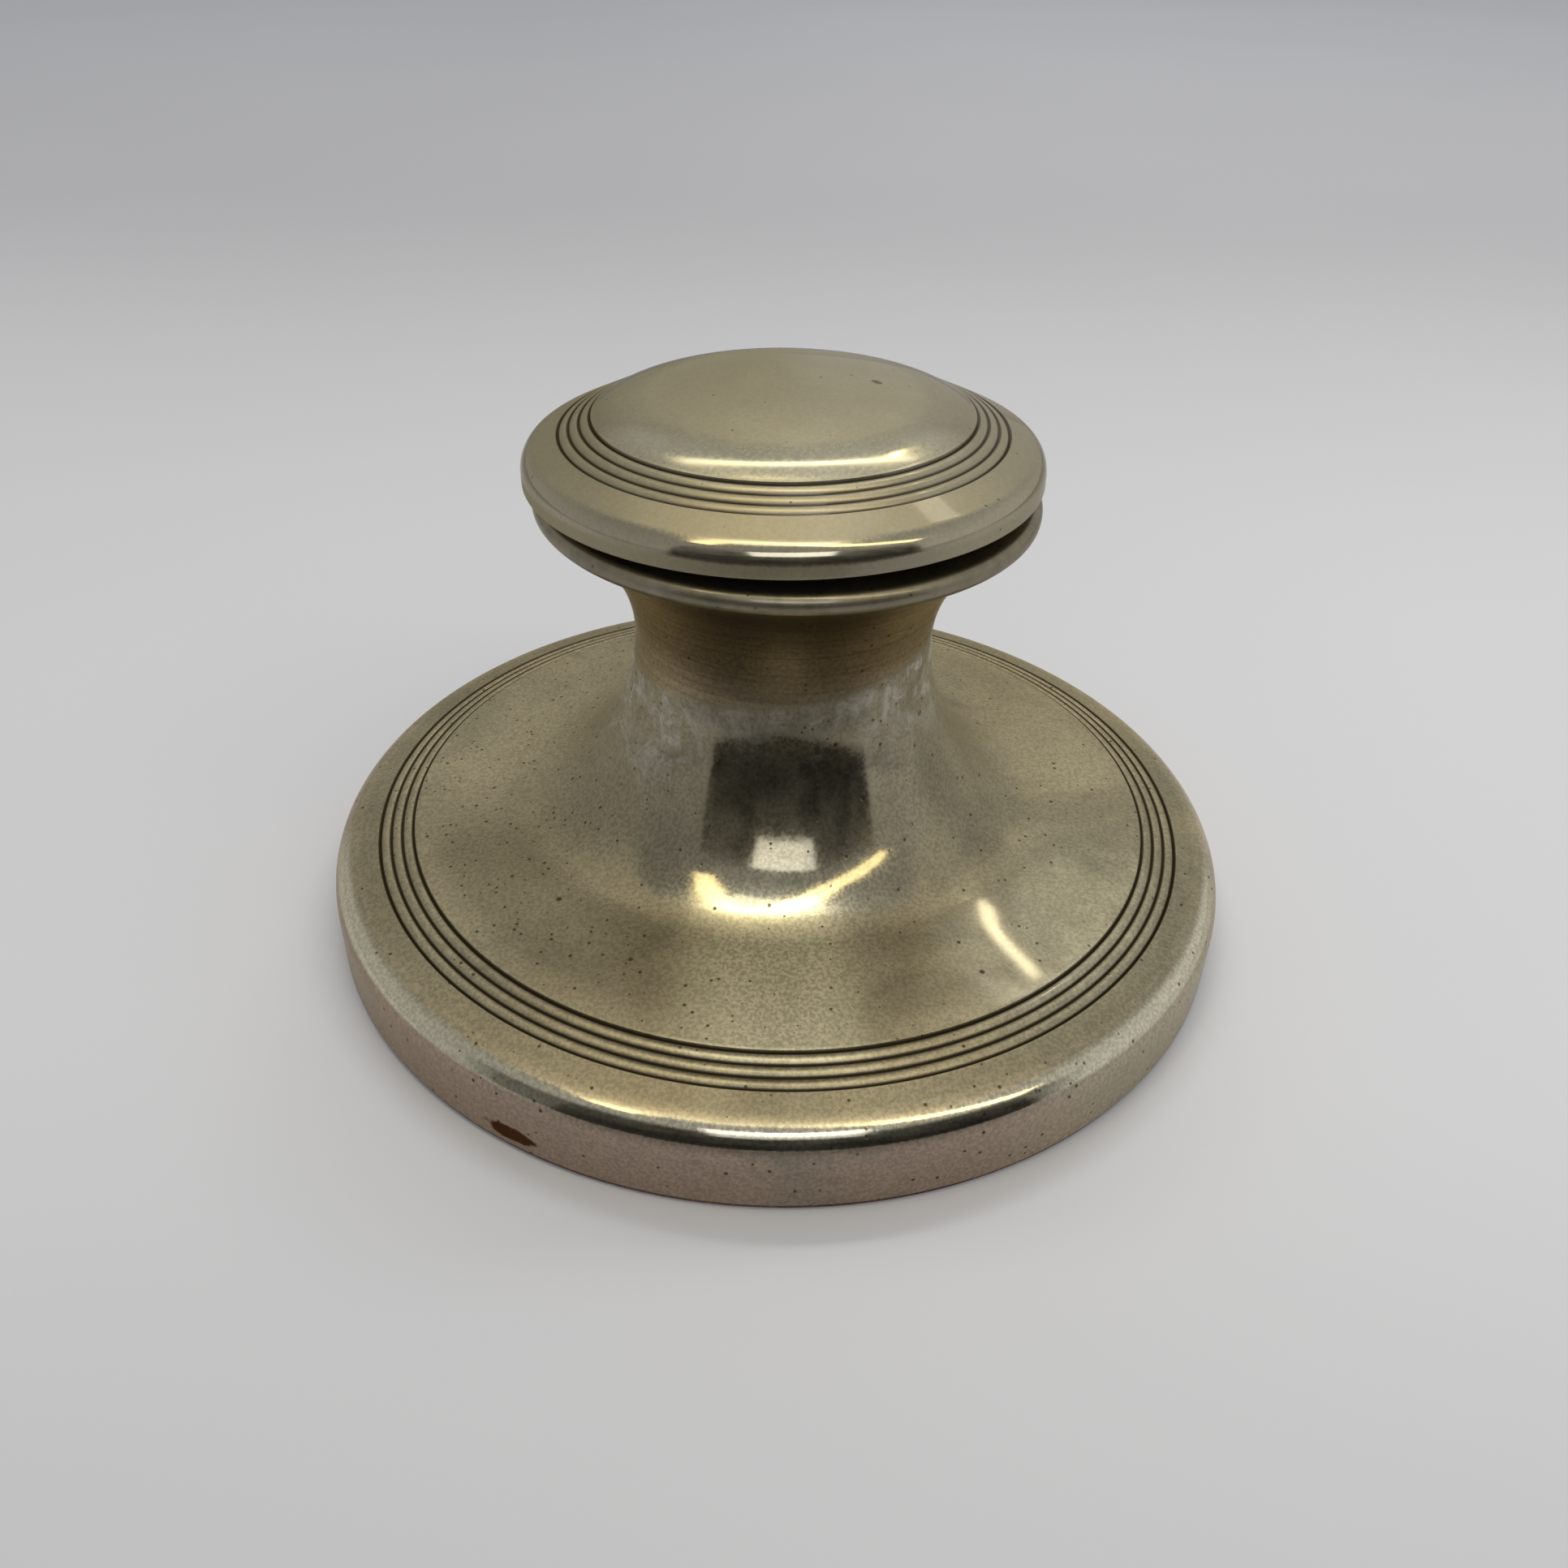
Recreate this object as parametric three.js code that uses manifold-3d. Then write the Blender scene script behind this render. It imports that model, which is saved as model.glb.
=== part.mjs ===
// Capstan inkwell in spun silver: a broad weighted foot with a reeded band, a waisted neck that
// opens into a trumpet, a collar that carries a glass ink pot, and a domed, reeded lid.
// The lid turns on a five-knuckle hinge at the back and stands slightly ajar.
// Millimetres, +Z up, origin at the centre of the underside, hinge towards +Y.
import * as THREE from 'three';
import { mergeVertices } from 'three/addons/utils/BufferGeometryUtils.js';
import Module from 'manifold-3d';

const wasm = await Module();
wasm.setup();

const RIGHT_ANGLE = Math.PI / 2;
const DEGREE = RIGHT_ANGLE / 90;

// Foot of the stand
const SHELL_GAUGE = 0.8;
const FOOT_RADIUS = 59.3;
const RIM_SHOULDER_RADIUS = 4.3;
const BAND_SLOPE = 15 * DEGREE;
const BAND_SETBACK = 6.2;
const BAND_GROOVE_HEIGHT = 12;
const BAND_REED_PITCH = 1.44;
const BAND_REEDS = 3;
const BAND_GROOVE_WIDTH = 0.5;
const BAND_GROOVE_DEPTH = 0.32;
const BAND_INNER_MARGIN = 0.5;
const SKIRT_SLOPE = 9 * DEGREE;

// Neck of the stand: the waist stands at a share of the collar seat's height, the flare below it
// runs out by a share of its rise, and the sweep's radius is a share of that run
const COLLAR_SEAT_HEIGHT = 55.6;
const COLLAR_OVERHANG = 0.9;
const WAIST_RADIUS = 18.65;
const WAIST_HEIGHT_SHARE = 0.703;
const FLARE_RUN_SHARE = 0.661;
const SWEEP_RADIUS_SHARE = 0.945;

// Board, cover and weighting inside the foot
const COVER_THICKNESS = 0.7;
const COVER_INSET = 0.3;
const BOARD_THICKNESS = 5;
const BOARD_CLEARANCE = 0.3;
const FILLING_CLEARANCE = 0.3;

// Collar that closes the neck and seats the pot
const COLLAR_RADIUS = 30;
const COLLAR_THICKNESS = 2.6;
const COLLAR_EDGE_RADIUS = 1.2;
const COLLAR_HOLE_RADIUS = 14.9;
const POT_SEAT_DEPTH = 0.8;

// Sleeve soldered under the collar, which keeps the weighting off the pot
const SLEEVE_WALL = 0.5;
const SLEEVE_FLOOR = 0.6;

// Glass pot
const POT_CLEARANCE = 0.5;
const POT_WALL = 1.8;
const POT_FLOOR = 2.6;
const POT_LENGTH = 35;
const POT_FOOT_RADIUS = 2;
const POT_FLANGE_OVERLAP = 2.7;
const POT_FLANGE_THICKNESS = 1.6;
const POT_FLANGE_EDGE = 0.5;
const POT_SEAT_CLEARANCE = 0.4;
const POT_FLOOR_CLEARANCE = 0.8;

// Lid
const LID_GAUGE = 0.8;
const LID_OVERHANG = 0.5;
const LID_SETBACK = 0.75;
const LID_RIM_GAP = 0.5;
const LID_AJAR = 1.5 * DEGREE;
const LID_SHOULDER_RADIUS = 2.6;
const LID_BAND_SLOPE = 25 * DEGREE;
const LID_BAND_SETBACK = 4.5;
const LID_GROOVE_HEIGHT = 5.2;
const LID_REED_PITCH = 1.23;
const LID_REEDS = 3;
const LID_GROOVE_WIDTH = 0.45;
const LID_GROOVE_DEPTH = 0.28;
const LID_INNER_MARGIN = 0.35;
const LID_APEX_HEIGHT = 10.7;
const LID_CROWN_RADIUS = 80;
const LID_CUSHION_RADIUS = 11;
const LID_PLATE_THICKNESS = 0.8;
const LID_PLATE_RECESS = 0.2;
const LID_PLATE_CLEARANCE = 0.3;

// Hinge
const KNUCKLE_RADIUS = 1.3;
const KNUCKLE_LENGTH = 2.6;
const KNUCKLE_GAP = 0.1;
const KNUCKLES = 5;
const PIN_RADIUS = 0.6;
const PIN_CLEARANCE = 0.05;
const BEARER_CLEARANCE = 0.15;
const BEARER_WALL = 0.6;
const BEARER_SPLIT = 0.15;
const LID_OPENING = 105 * DEGREE;
const STOP_SLACK = 1 * DEGREE;
const NOTCH_CLEARANCE = 0.3;
const NOTCH_FLOOR_CLEARANCE = 0.2;

// How finely the round forms are divided
const BROAD_SIDES = 60;
const MIDDLE_SIDES = 44;
const SMALL_SIDES = 36;
const HINGE_SIDES = 20;
const ARC_STEPS = 4;
const SWEEP_STEPS = 5;
const HIDDEN_STEPS = 3;
const REED_STEPS = 3;
const CUT_OVERRUN = 5;

const silver = { color: 0x9a9078, roughness: 0.32, metalness: 1 };
const brass = { color: 0x9c7f45, roughness: 0.42, metalness: 1 };
const glass = { color: 0xdfe8e6, roughness: 0.05, metalness: 0, transparent: true, opacity: 0.4 };
const wood = { color: 0x7a5230, roughness: 0.7, metalness: 0 };
const leather = { color: 0x4a2a20, roughness: 0.75, metalness: 0 };
const plaster = { color: 0xcfc7b4, roughness: 0.9, metalness: 0 };

// Heights and radii that follow from the sizes above
const shellFoot = COVER_THICKNESS;
const boardTop = shellFoot + BOARD_THICKNESS;
const collarTop = COLLAR_SEAT_HEIGHT + COLLAR_THICKNESS;
const flangeRadius = COLLAR_HOLE_RADIUS + POT_FLANGE_OVERLAP;
const seatRadius = flangeRadius + POT_SEAT_CLEARANCE;
const potSeat = collarTop - POT_SEAT_DEPTH;
const potRadius = COLLAR_HOLE_RADIUS - POT_CLEARANCE;
const potBottom = potSeat - POT_LENGTH;
const sleeveRadius = COLLAR_HOLE_RADIUS + SLEEVE_WALL;
const sleeveInside = potBottom - POT_FLOOR_CLEARANCE;
const sleeveBottom = sleeveInside - SLEEVE_FLOOR;
const lidRadius = COLLAR_RADIUS + LID_OVERHANG;
const hingeRadius = COLLAR_RADIUS;
const hingeHeight = collarTop + LID_RIM_GAP / 2;
const hingeWidth = KNUCKLES * KNUCKLE_LENGTH + (KNUCKLES - 1) * KNUCKLE_GAP;
const grooveRadius = KNUCKLE_RADIUS + BEARER_CLEARANCE;
const bearerReach = grooveRadius + BEARER_WALL;

const vector = (r, z) => new THREE.Vector2(r, z);
// Unit vector square to a surface that falls outwards at the given slope
const slopeNormal = (slope) => vector(Math.sin(slope), Math.cos(slope));

// Points of an arc about a centre, from one surface slope to another.
// The side is 1 for a crown with its centre in the metal and -1 for a sweep with it outside.
function arc(centre, radius, side, from, to, steps) {
  const points = [];
  for (let step = 0; step <= steps; step += 1) {
    const slope = from + (to - from) * step / steps;
    points.push(slopeNormal(slope).multiplyScalar(side * radius).add(centre));
  }
  return points;
}

// Half-round reeds side by side along a sloping band: the outermost groove's edge, the grooves with
// a crowned reed between each two, and the innermost groove's edge.
function reededBand(groove, slope, reeds, radialPitch, width, depth) {
  const inward = vector(-Math.cos(slope), Math.sin(slope));
  const pitch = radialPitch / Math.cos(slope);
  const place = (along, sunk) => inward.clone().multiplyScalar(along)
    .addScaledVector(slopeNormal(slope), -sunk).add(groove);
  const points = [place(-width / 2, 0)];
  for (let step = 0; step <= reeds * REED_STEPS; step += 1) {
    const across = 2 * (step % REED_STEPS) / REED_STEPS - 1;
    points.push(place(pitch * step / REED_STEPS, depth * across * across));
  }
  points.push(place(pitch * reeds + width / 2, 0));
  return points;
}

// Meridian of the stand from its foot to the collar, sunk into the metal by an offset.
// The centres of its arcs stay where they are, so every offset runs parallel to the outside.
function standMeridian(offset, arcSteps, sweepSteps, reeded) {
  const band = vector(FOOT_RADIUS - BAND_SETBACK, BAND_GROOVE_HEIGHT);
  const corner = band.y - BAND_SETBACK * Math.tan(BAND_SLOPE);
  const tangent = RIM_SHOULDER_RADIUS * Math.tan((RIGHT_ANGLE - BAND_SLOPE) / 2);
  const shoulder = vector(FOOT_RADIUS - RIM_SHOULDER_RADIUS, corner - tangent);
  const bandRun = BAND_REEDS * BAND_REED_PITCH + BAND_INNER_MARGIN;
  const skirt = vector(band.x - bandRun, band.y + bandRun * Math.tan(BAND_SLOPE));
  const waist = vector(WAIST_RADIUS, WAIST_HEIGHT_SHARE * COLLAR_SEAT_HEIGHT);
  const { sweep, flare } = flareArcs(skirt, waist);
  const turn = Math.atan2(flare.centre.x - sweep.centre.x, flare.centre.y - sweep.centre.y);
  const trumpet = trumpetArc(waist);
  const rise = Math.asin((COLLAR_SEAT_HEIGHT - waist.y) / (trumpet.radius + offset));
  const reeds = reeded
    ? [...reededBand(band, BAND_SLOPE, BAND_REEDS, BAND_REED_PITCH, BAND_GROOVE_WIDTH,
      BAND_GROOVE_DEPTH), skirt]
    : [];
  return [
    vector(FOOT_RADIUS - offset, shellFoot),
    ...arc(shoulder, RIM_SHOULDER_RADIUS - offset, 1, RIGHT_ANGLE, BAND_SLOPE, arcSteps),
    ...reeds,
    ...arc(sweep.centre, sweep.radius + offset, -1, SKIRT_SLOPE, turn, arcSteps),
    ...arc(flare.centre, flare.radius + offset, -1, turn, RIGHT_ANGLE, sweepSteps).slice(1),
    ...arc(trumpet.centre, trumpet.radius + offset, -1, RIGHT_ANGLE, RIGHT_ANGLE + rise,
      sweepSteps).slice(1),
  ];
}

// The sweep leaves the skirt's line and the flare takes over from it, upright at the waist
function flareArcs(skirt, waist) {
  const fall = Math.tan(SKIRT_SLOPE);
  const height = waist.y - skirt.y - (skirt.x - waist.x) * fall;
  const rise = height / (1 - FLARE_RUN_SHARE * fall);
  const run = FLARE_RUN_SHARE * rise;
  const radius = SWEEP_RADIUS_SHARE * run;
  const centre = vector(waist.x + run, waist.y - rise)
    .addScaledVector(slopeNormal(SKIRT_SLOPE), radius);
  const across = centre.x - waist.x;
  const up = waist.y - centre.y;
  const broad = (across * across + up * up - radius * radius) / (2 * (across - radius));
  return {
    sweep: { centre, radius },
    flare: { centre: vector(waist.x + broad, waist.y), radius: broad },
  };
}

// The trumpet opens from the upright waist to its edge under the collar
function trumpetArc(waist) {
  const across = COLLAR_RADIUS - COLLAR_OVERHANG - waist.x;
  const up = COLLAR_SEAT_HEIGHT - waist.y;
  const radius = (across * across + up * up) / (2 * across);
  return { centre: vector(waist.x + radius, waist.y), radius };
}

// Meridian of the lid from its rim to its apex, with heights above the rim, sunk by an offset
function lidMeridian(offset, arcSteps, reeded) {
  const band = vector(lidRadius - LID_BAND_SETBACK, LID_GROOVE_HEIGHT);
  const corner = band.y - LID_BAND_SETBACK * Math.tan(LID_BAND_SLOPE);
  const tangent = LID_SHOULDER_RADIUS * Math.tan((RIGHT_ANGLE - LID_BAND_SLOPE) / 2);
  const shoulder = vector(lidRadius - LID_SHOULDER_RADIUS, corner - tangent);
  const bandRun = LID_REEDS * LID_REED_PITCH + LID_INNER_MARGIN;
  const edge = vector(band.x - bandRun, band.y + bandRun * Math.tan(LID_BAND_SLOPE));
  const crown = vector(0, LID_APEX_HEIGHT - LID_CROWN_RADIUS);
  const cushion = cushionCentre(edge, crown);
  const edgeSlope = Math.atan2(edge.x - cushion.x, edge.y - cushion.y);
  const crownSlope = Math.atan2(cushion.x, cushion.y - crown.y);
  const reeds = reeded
    ? reededBand(band, LID_BAND_SLOPE, LID_REEDS, LID_REED_PITCH, LID_GROOVE_WIDTH, LID_GROOVE_DEPTH)
    : [];
  return [
    vector(lidRadius - offset, 0),
    ...arc(shoulder, LID_SHOULDER_RADIUS - offset, 1, RIGHT_ANGLE, LID_BAND_SLOPE, arcSteps),
    ...reeds,
    ...arc(cushion, LID_CUSHION_RADIUS - offset, 1, edgeSlope, crownSlope, arcSteps),
    ...arc(crown, LID_CROWN_RADIUS - offset, 1, crownSlope, 0, arcSteps).slice(1),
  ];
}

// Centre of the cushion's edge arc: it passes through the edge and runs smoothly into the crown
function cushionCentre(edge, crown) {
  const toCrown = crown.clone().sub(edge);
  const distance = toCrown.length();
  const reach = LID_CROWN_RADIUS - LID_CUSHION_RADIUS;
  const along = (LID_CUSHION_RADIUS ** 2 - reach ** 2 + distance ** 2) / (2 * distance);
  const aside = Math.sqrt(LID_CUSHION_RADIUS ** 2 - along ** 2);
  const unit = toCrown.divideScalar(distance);
  return vector(edge.x + unit.x * along + unit.y * aside, edge.y + unit.y * along - unit.x * aside);
}

// Bare closed mesh: shared corners merged and triangles without area left out
function clean(geometry) {
  geometry.deleteAttribute('normal');
  geometry.deleteAttribute('uv');
  const merged = mergeVertices(geometry);
  const corners = merged.index.array;
  const kept = [];
  for (let i = 0; i < corners.length; i += 3) {
    const [a, b, c] = corners.slice(i, i + 3);
    if (a !== b && b !== c && c !== a) kept.push(a, b, c);
  }
  merged.setIndex(kept);
  merged.computeVertexNormals();
  return merged;
}

// Solid of revolution about Z from an outline that runs anticlockwise in radius and height
function revolve(outline, sides) {
  return clean(new THREE.LatheGeometry(outline, sides).rotateX(RIGHT_ANGLE));
}

// Solid of revolution that is hollow along its axis, so its outline closes on itself
function revolveRing(outline, sides) {
  return revolve([...outline, outline[0].clone()], sides);
}

// Section in Y and Z, extruded along X and centred on X = 0
function extrudeAcross(section, width) {
  const geometry = new THREE.ExtrudeGeometry(section, {
    depth: width, bevelEnabled: false, curveSegments: HINGE_SIDES / 2,
  });
  const toSide = new THREE.Matrix4().makeBasis(
    new THREE.Vector3(0, 1, 0), new THREE.Vector3(0, 0, 1), new THREE.Vector3(1, 0, 0));
  return clean(geometry.translate(0, 0, -width / 2).applyMatrix4(toSide));
}

function toSolid(geometry) {
  const bare = clean(geometry.clone());
  return new wasm.Manifold(new wasm.Mesh({
    numProp: 3,
    vertProperties: new Float32Array(bare.attributes.position.array),
    triVerts: new Uint32Array(bare.index.array),
  }));
}

// One geometry with others cut away from it
function cut(geometry, ...tools) {
  const solid = tools.reduce((rest, tool) => rest.subtract(toSolid(tool)), toSolid(geometry));
  const result = solid.getMesh();
  const left = new THREE.BufferGeometry();
  left.setAttribute('position', new THREE.BufferAttribute(result.vertProperties, 3));
  left.setIndex(new THREE.BufferAttribute(result.triVerts, 1));
  left.computeVertexNormals();
  return left;
}

// Box that cuts the hinge's notch, from a floor or ceiling near the axis and outwards past the rim
function notchTool(low, high) {
  const front = hingeRadius - bearerReach - NOTCH_CLEARANCE;
  const back = COLLAR_RADIUS + CUT_OVERRUN;
  return new THREE.BoxGeometry(hingeWidth + 2 * NOTCH_CLEARANCE, back - front, high - low)
    .translate(0, (front + back) / 2, (low + high) / 2);
}

function coverGeometry() {
  const radius = FOOT_RADIUS - COVER_INSET;
  return revolve([
    vector(0, 0), vector(radius, 0), vector(radius, COVER_THICKNESS), vector(0, COVER_THICKNESS),
  ], BROAD_SIDES);
}

function boardGeometry() {
  const radius = FOOT_RADIUS - SHELL_GAUGE - BOARD_CLEARANCE;
  return revolve([
    vector(0, shellFoot), vector(radius, shellFoot), vector(radius, boardTop), vector(0, boardTop),
  ], BROAD_SIDES);
}

// The weighting fills the foot and the neck between the shell, the board and the sleeve
function fillingGeometry() {
  const sunk = SHELL_GAUGE + FILLING_CLEARANCE;
  const outside = standMeridian(sunk, HIDDEN_STEPS, HIDDEN_STEPS, false).slice(1)
    .map((point) => vector(point.x, Math.max(point.y, boardTop)));
  const top = COLLAR_SEAT_HEIGHT - FILLING_CLEARANCE;
  const body = outside.filter((point) => point.y < top);
  const inside = sleeveRadius + FILLING_CLEARANCE;
  const well = sleeveBottom - FILLING_CLEARANCE;
  return revolve([
    vector(0, boardTop), ...body, vector(body[body.length - 1].x, top), vector(inside, top),
    vector(inside, well), vector(0, well),
  ], MIDDLE_SIDES);
}

function shellGeometry() {
  return revolveRing([
    ...standMeridian(0, ARC_STEPS, SWEEP_STEPS, true),
    ...standMeridian(SHELL_GAUGE, HIDDEN_STEPS, HIDDEN_STEPS, false).reverse(),
  ], BROAD_SIDES);
}

function collarGeometry() {
  const edge = vector(COLLAR_RADIUS - COLLAR_EDGE_RADIUS, collarTop - COLLAR_EDGE_RADIUS);
  const foot = vector(edge.x, COLLAR_SEAT_HEIGHT + COLLAR_EDGE_RADIUS);
  const ring = revolveRing([
    vector(COLLAR_HOLE_RADIUS, COLLAR_SEAT_HEIGHT),
    ...arc(foot, COLLAR_EDGE_RADIUS, 1, 2 * RIGHT_ANGLE, RIGHT_ANGLE, ARC_STEPS),
    ...arc(edge, COLLAR_EDGE_RADIUS, 1, RIGHT_ANGLE, 0, ARC_STEPS),
    vector(seatRadius, collarTop), vector(seatRadius, potSeat),
    vector(COLLAR_HOLE_RADIUS, potSeat),
  ], MIDDLE_SIDES);
  const floor = hingeHeight - bearerReach - NOTCH_FLOOR_CLEARANCE;
  return cut(ring, notchTool(floor, collarTop + CUT_OVERRUN));
}

function sleeveGeometry() {
  return revolve([
    vector(0, sleeveBottom), vector(sleeveRadius, sleeveBottom),
    vector(sleeveRadius, COLLAR_SEAT_HEIGHT), vector(COLLAR_HOLE_RADIUS, COLLAR_SEAT_HEIGHT),
    vector(COLLAR_HOLE_RADIUS, sleeveInside), vector(0, sleeveInside),
  ], SMALL_SIDES);
}

function potGeometry() {
  const bore = potRadius - POT_WALL;
  const floor = potBottom + POT_FLOOR;
  const foot = vector(potRadius - POT_FOOT_RADIUS, potBottom + POT_FOOT_RADIUS);
  const well = vector(bore - POT_FOOT_RADIUS, floor + POT_FOOT_RADIUS);
  const flangeTop = potSeat + POT_FLANGE_THICKNESS;
  return revolve([
    vector(0, potBottom), ...arc(foot, POT_FOOT_RADIUS, 1, 2 * RIGHT_ANGLE, RIGHT_ANGLE, ARC_STEPS),
    vector(potRadius, potSeat), vector(flangeRadius, potSeat),
    vector(flangeRadius, flangeTop - POT_FLANGE_EDGE),
    vector(flangeRadius - POT_FLANGE_EDGE, flangeTop), vector(bore + POT_FLANGE_EDGE, flangeTop),
    vector(bore, flangeTop - POT_FLANGE_EDGE),
    ...arc(well, POT_FOOT_RADIUS, 1, RIGHT_ANGLE, 2 * RIGHT_ANGLE, ARC_STEPS),
    vector(0, floor),
  ], SMALL_SIDES);
}

// Ceiling of the lid's notch in the lid's own frame, whose zero is the hinge axis
const lidNotch = () => notchTool(-CUT_OVERRUN, bearerReach + NOTCH_FLOOR_CLEARANCE)
  .translate(0, -hingeRadius, 0);

function domeGeometry() {
  const dome = revolveRing([
    ...lidMeridian(0, ARC_STEPS, true), ...lidMeridian(LID_GAUGE, HIDDEN_STEPS, false).reverse(),
  ], MIDDLE_SIDES);
  return cut(dome.translate(0, LID_SETBACK - hingeRadius, LID_RIM_GAP / 2), lidNotch());
}

function plateGeometry() {
  const radius = lidRadius - LID_GAUGE - LID_PLATE_CLEARANCE;
  const top = LID_PLATE_RECESS + LID_PLATE_THICKNESS;
  const plate = revolve([
    vector(0, LID_PLATE_RECESS), vector(radius, LID_PLATE_RECESS), vector(radius, top),
    vector(0, top),
  ], MIDDLE_SIDES);
  return cut(plate.translate(0, LID_SETBACK - hingeRadius, LID_RIM_GAP / 2), lidNotch());
}

// Bearer along the hinge: a bar hollowed round the knuckles, above the axis or below it.
// Its square back edge is the stop, and the other bearer is just short of it with the lid fully open.
function bearerGeometry(side) {
  const backAngle = (LID_OPENING + LID_AJAR + STOP_SLACK) / 2;
  const back = grooveRadius * Math.cos(backAngle);
  const frontAngle = Math.PI - Math.asin(BEARER_SPLIT / grooveRadius);
  const section = new THREE.Shape();
  section.moveTo(-bearerReach, side * BEARER_SPLIT);
  section.lineTo(grooveRadius * Math.cos(frontAngle), side * BEARER_SPLIT);
  section.absarc(0, 0, grooveRadius, side * frontAngle, side * backAngle, side > 0);
  section.lineTo(back, side * bearerReach);
  section.lineTo(-bearerReach, side * bearerReach);
  section.closePath();
  return extrudeAcross(section, hingeWidth);
}

// One length of hinge tube, by its place along the pin
function knuckleGeometry(index) {
  const section = new THREE.Shape();
  section.absarc(0, 0, KNUCKLE_RADIUS, 0, 2 * Math.PI);
  const bore = new THREE.Path();
  bore.absarc(0, 0, PIN_RADIUS + PIN_CLEARANCE, 0, 2 * Math.PI);
  section.holes.push(bore);
  const place = (index - (KNUCKLES - 1) / 2) * (KNUCKLE_LENGTH + KNUCKLE_GAP);
  return extrudeAcross(section, KNUCKLE_LENGTH).translate(place, 0, 0);
}

function pinGeometry() {
  return clean(new THREE.CylinderGeometry(PIN_RADIUS, PIN_RADIUS, hingeWidth, HINGE_SIDES)
    .rotateZ(RIGHT_ANGLE));
}

function named(name, geometry, finish) {
  const mesh = new THREE.Mesh(geometry, new THREE.MeshStandardMaterial(finish));
  mesh.name = name;
  return mesh;
}

const stand = new THREE.Group();
stand.add(
  named('base_cover', coverGeometry(), leather),
  named('base_board', boardGeometry(), wood),
  named('filling', fillingGeometry(), plaster),
  named('body_shell', shellGeometry(), silver),
  named('well_sleeve', sleeveGeometry(), brass),
  named('collar', collarGeometry(), silver),
  named('ink_pot', potGeometry(), glass),
);

const standHinge = new THREE.Group();
standHinge.position.set(0, hingeRadius, hingeHeight);
standHinge.add(
  named('collar_bearer', bearerGeometry(-1), silver),
  named('collar_knuckle_left', knuckleGeometry(0), silver),
  named('collar_knuckle_middle', knuckleGeometry(2), silver),
  named('collar_knuckle_right', knuckleGeometry(4), silver),
  named('hinge_pin', pinGeometry(), silver),
);
stand.add(standHinge);

// The lid's own frame has the hinge axis as its zero, so the ajar angle turns it about the pin
const lid = new THREE.Group();
lid.position.copy(standHinge.position);
lid.rotation.x = -LID_AJAR;
lid.add(
  named('lid_dome', domeGeometry(), silver),
  named('lid_plate', plateGeometry(), silver),
  named('lid_bearer', bearerGeometry(1), silver),
  named('lid_knuckle_left', knuckleGeometry(1), silver),
  named('lid_knuckle_right', knuckleGeometry(3), silver),
);

const inkwell = new THREE.Group();
inkwell.name = 'capstan_inkwell';
inkwell.add(stand, lid);

export default inkwell;
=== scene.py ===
"""Looks for the capstan inkwell: spun silver with its tarnish, glass, leather and a studio.

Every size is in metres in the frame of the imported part: Z up, the underside's centre at the
origin and the hinge towards +Y. Each operator makes one piece, or one group of like pieces.
"""

import math
from functools import reduce

import bmesh
import bpy
from bpy.props import (
    BoolProperty,
    FloatProperty,
    FloatVectorProperty,
    IntProperty,
    PointerProperty,
)
from bpy.types import Operator, Panel, PropertyGroup
from mathutils import Matrix, Vector


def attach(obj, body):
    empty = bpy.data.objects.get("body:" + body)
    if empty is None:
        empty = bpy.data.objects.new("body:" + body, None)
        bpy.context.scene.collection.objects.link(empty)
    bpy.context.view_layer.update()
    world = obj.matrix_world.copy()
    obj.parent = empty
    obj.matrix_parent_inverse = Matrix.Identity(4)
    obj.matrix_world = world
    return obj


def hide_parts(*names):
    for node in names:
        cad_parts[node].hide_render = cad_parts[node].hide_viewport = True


bl_info = {
    "name": "Capstan inkwell",
    "version": (1, 0, 0),
    "blender": (4, 5, 0),
    "location": "3D View > Sidebar > Inkwell",
    "description": "Dresses the capstan inkwell's solids in silver, glass and leather",
    "category": "Add Mesh",
}

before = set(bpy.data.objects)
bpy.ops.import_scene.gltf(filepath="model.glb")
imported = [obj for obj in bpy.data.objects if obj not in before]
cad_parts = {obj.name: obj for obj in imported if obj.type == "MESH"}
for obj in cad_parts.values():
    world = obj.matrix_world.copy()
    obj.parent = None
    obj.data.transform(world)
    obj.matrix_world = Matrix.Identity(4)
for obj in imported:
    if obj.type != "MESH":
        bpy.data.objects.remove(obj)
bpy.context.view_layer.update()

RIGHT_ANGLE = math.pi / 2
# From the part's front to the side that the camera sees
VIEW_TURN = math.radians(-45)
# The brown stain, in the camera's turn, and the lid's two specks with their sizes
STAIN_PLACE = (-0.0287, -0.0519, 0.0026)
LID_SPECKS = (((0.0071, -0.0038, 0.0107), 0.0009), ((0.0081, -0.0069, 0.0103), 0.0013))


def length(name, description, default):
    """A size in metres that a user may change."""
    return FloatProperty(
        name=name, description=description, default=default, min=0, precision=5, unit="LENGTH"
    )


def angle(name, description, degrees):
    """An angle that a user may change, given in degrees."""
    return FloatProperty(
        name=name, description=description, default=math.radians(degrees), subtype="ANGLE"
    )


def colour(name, description, default):
    """A colour that a user may change, in linear values."""
    return FloatVectorProperty(
        name=name, description=description, default=default, subtype="COLOR", min=0, max=1
    )


def share(name, description, default):
    """A share of something that a user may change, as a factor."""
    return FloatProperty(
        name=name, description=description, default=default, min=0, max=2, subtype="FACTOR"
    )


def place(name, description, default):
    """A place in the part's frame that a user may change."""
    return FloatVectorProperty(
        name=name, description=description, default=default, precision=4, unit="LENGTH"
    )


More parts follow.
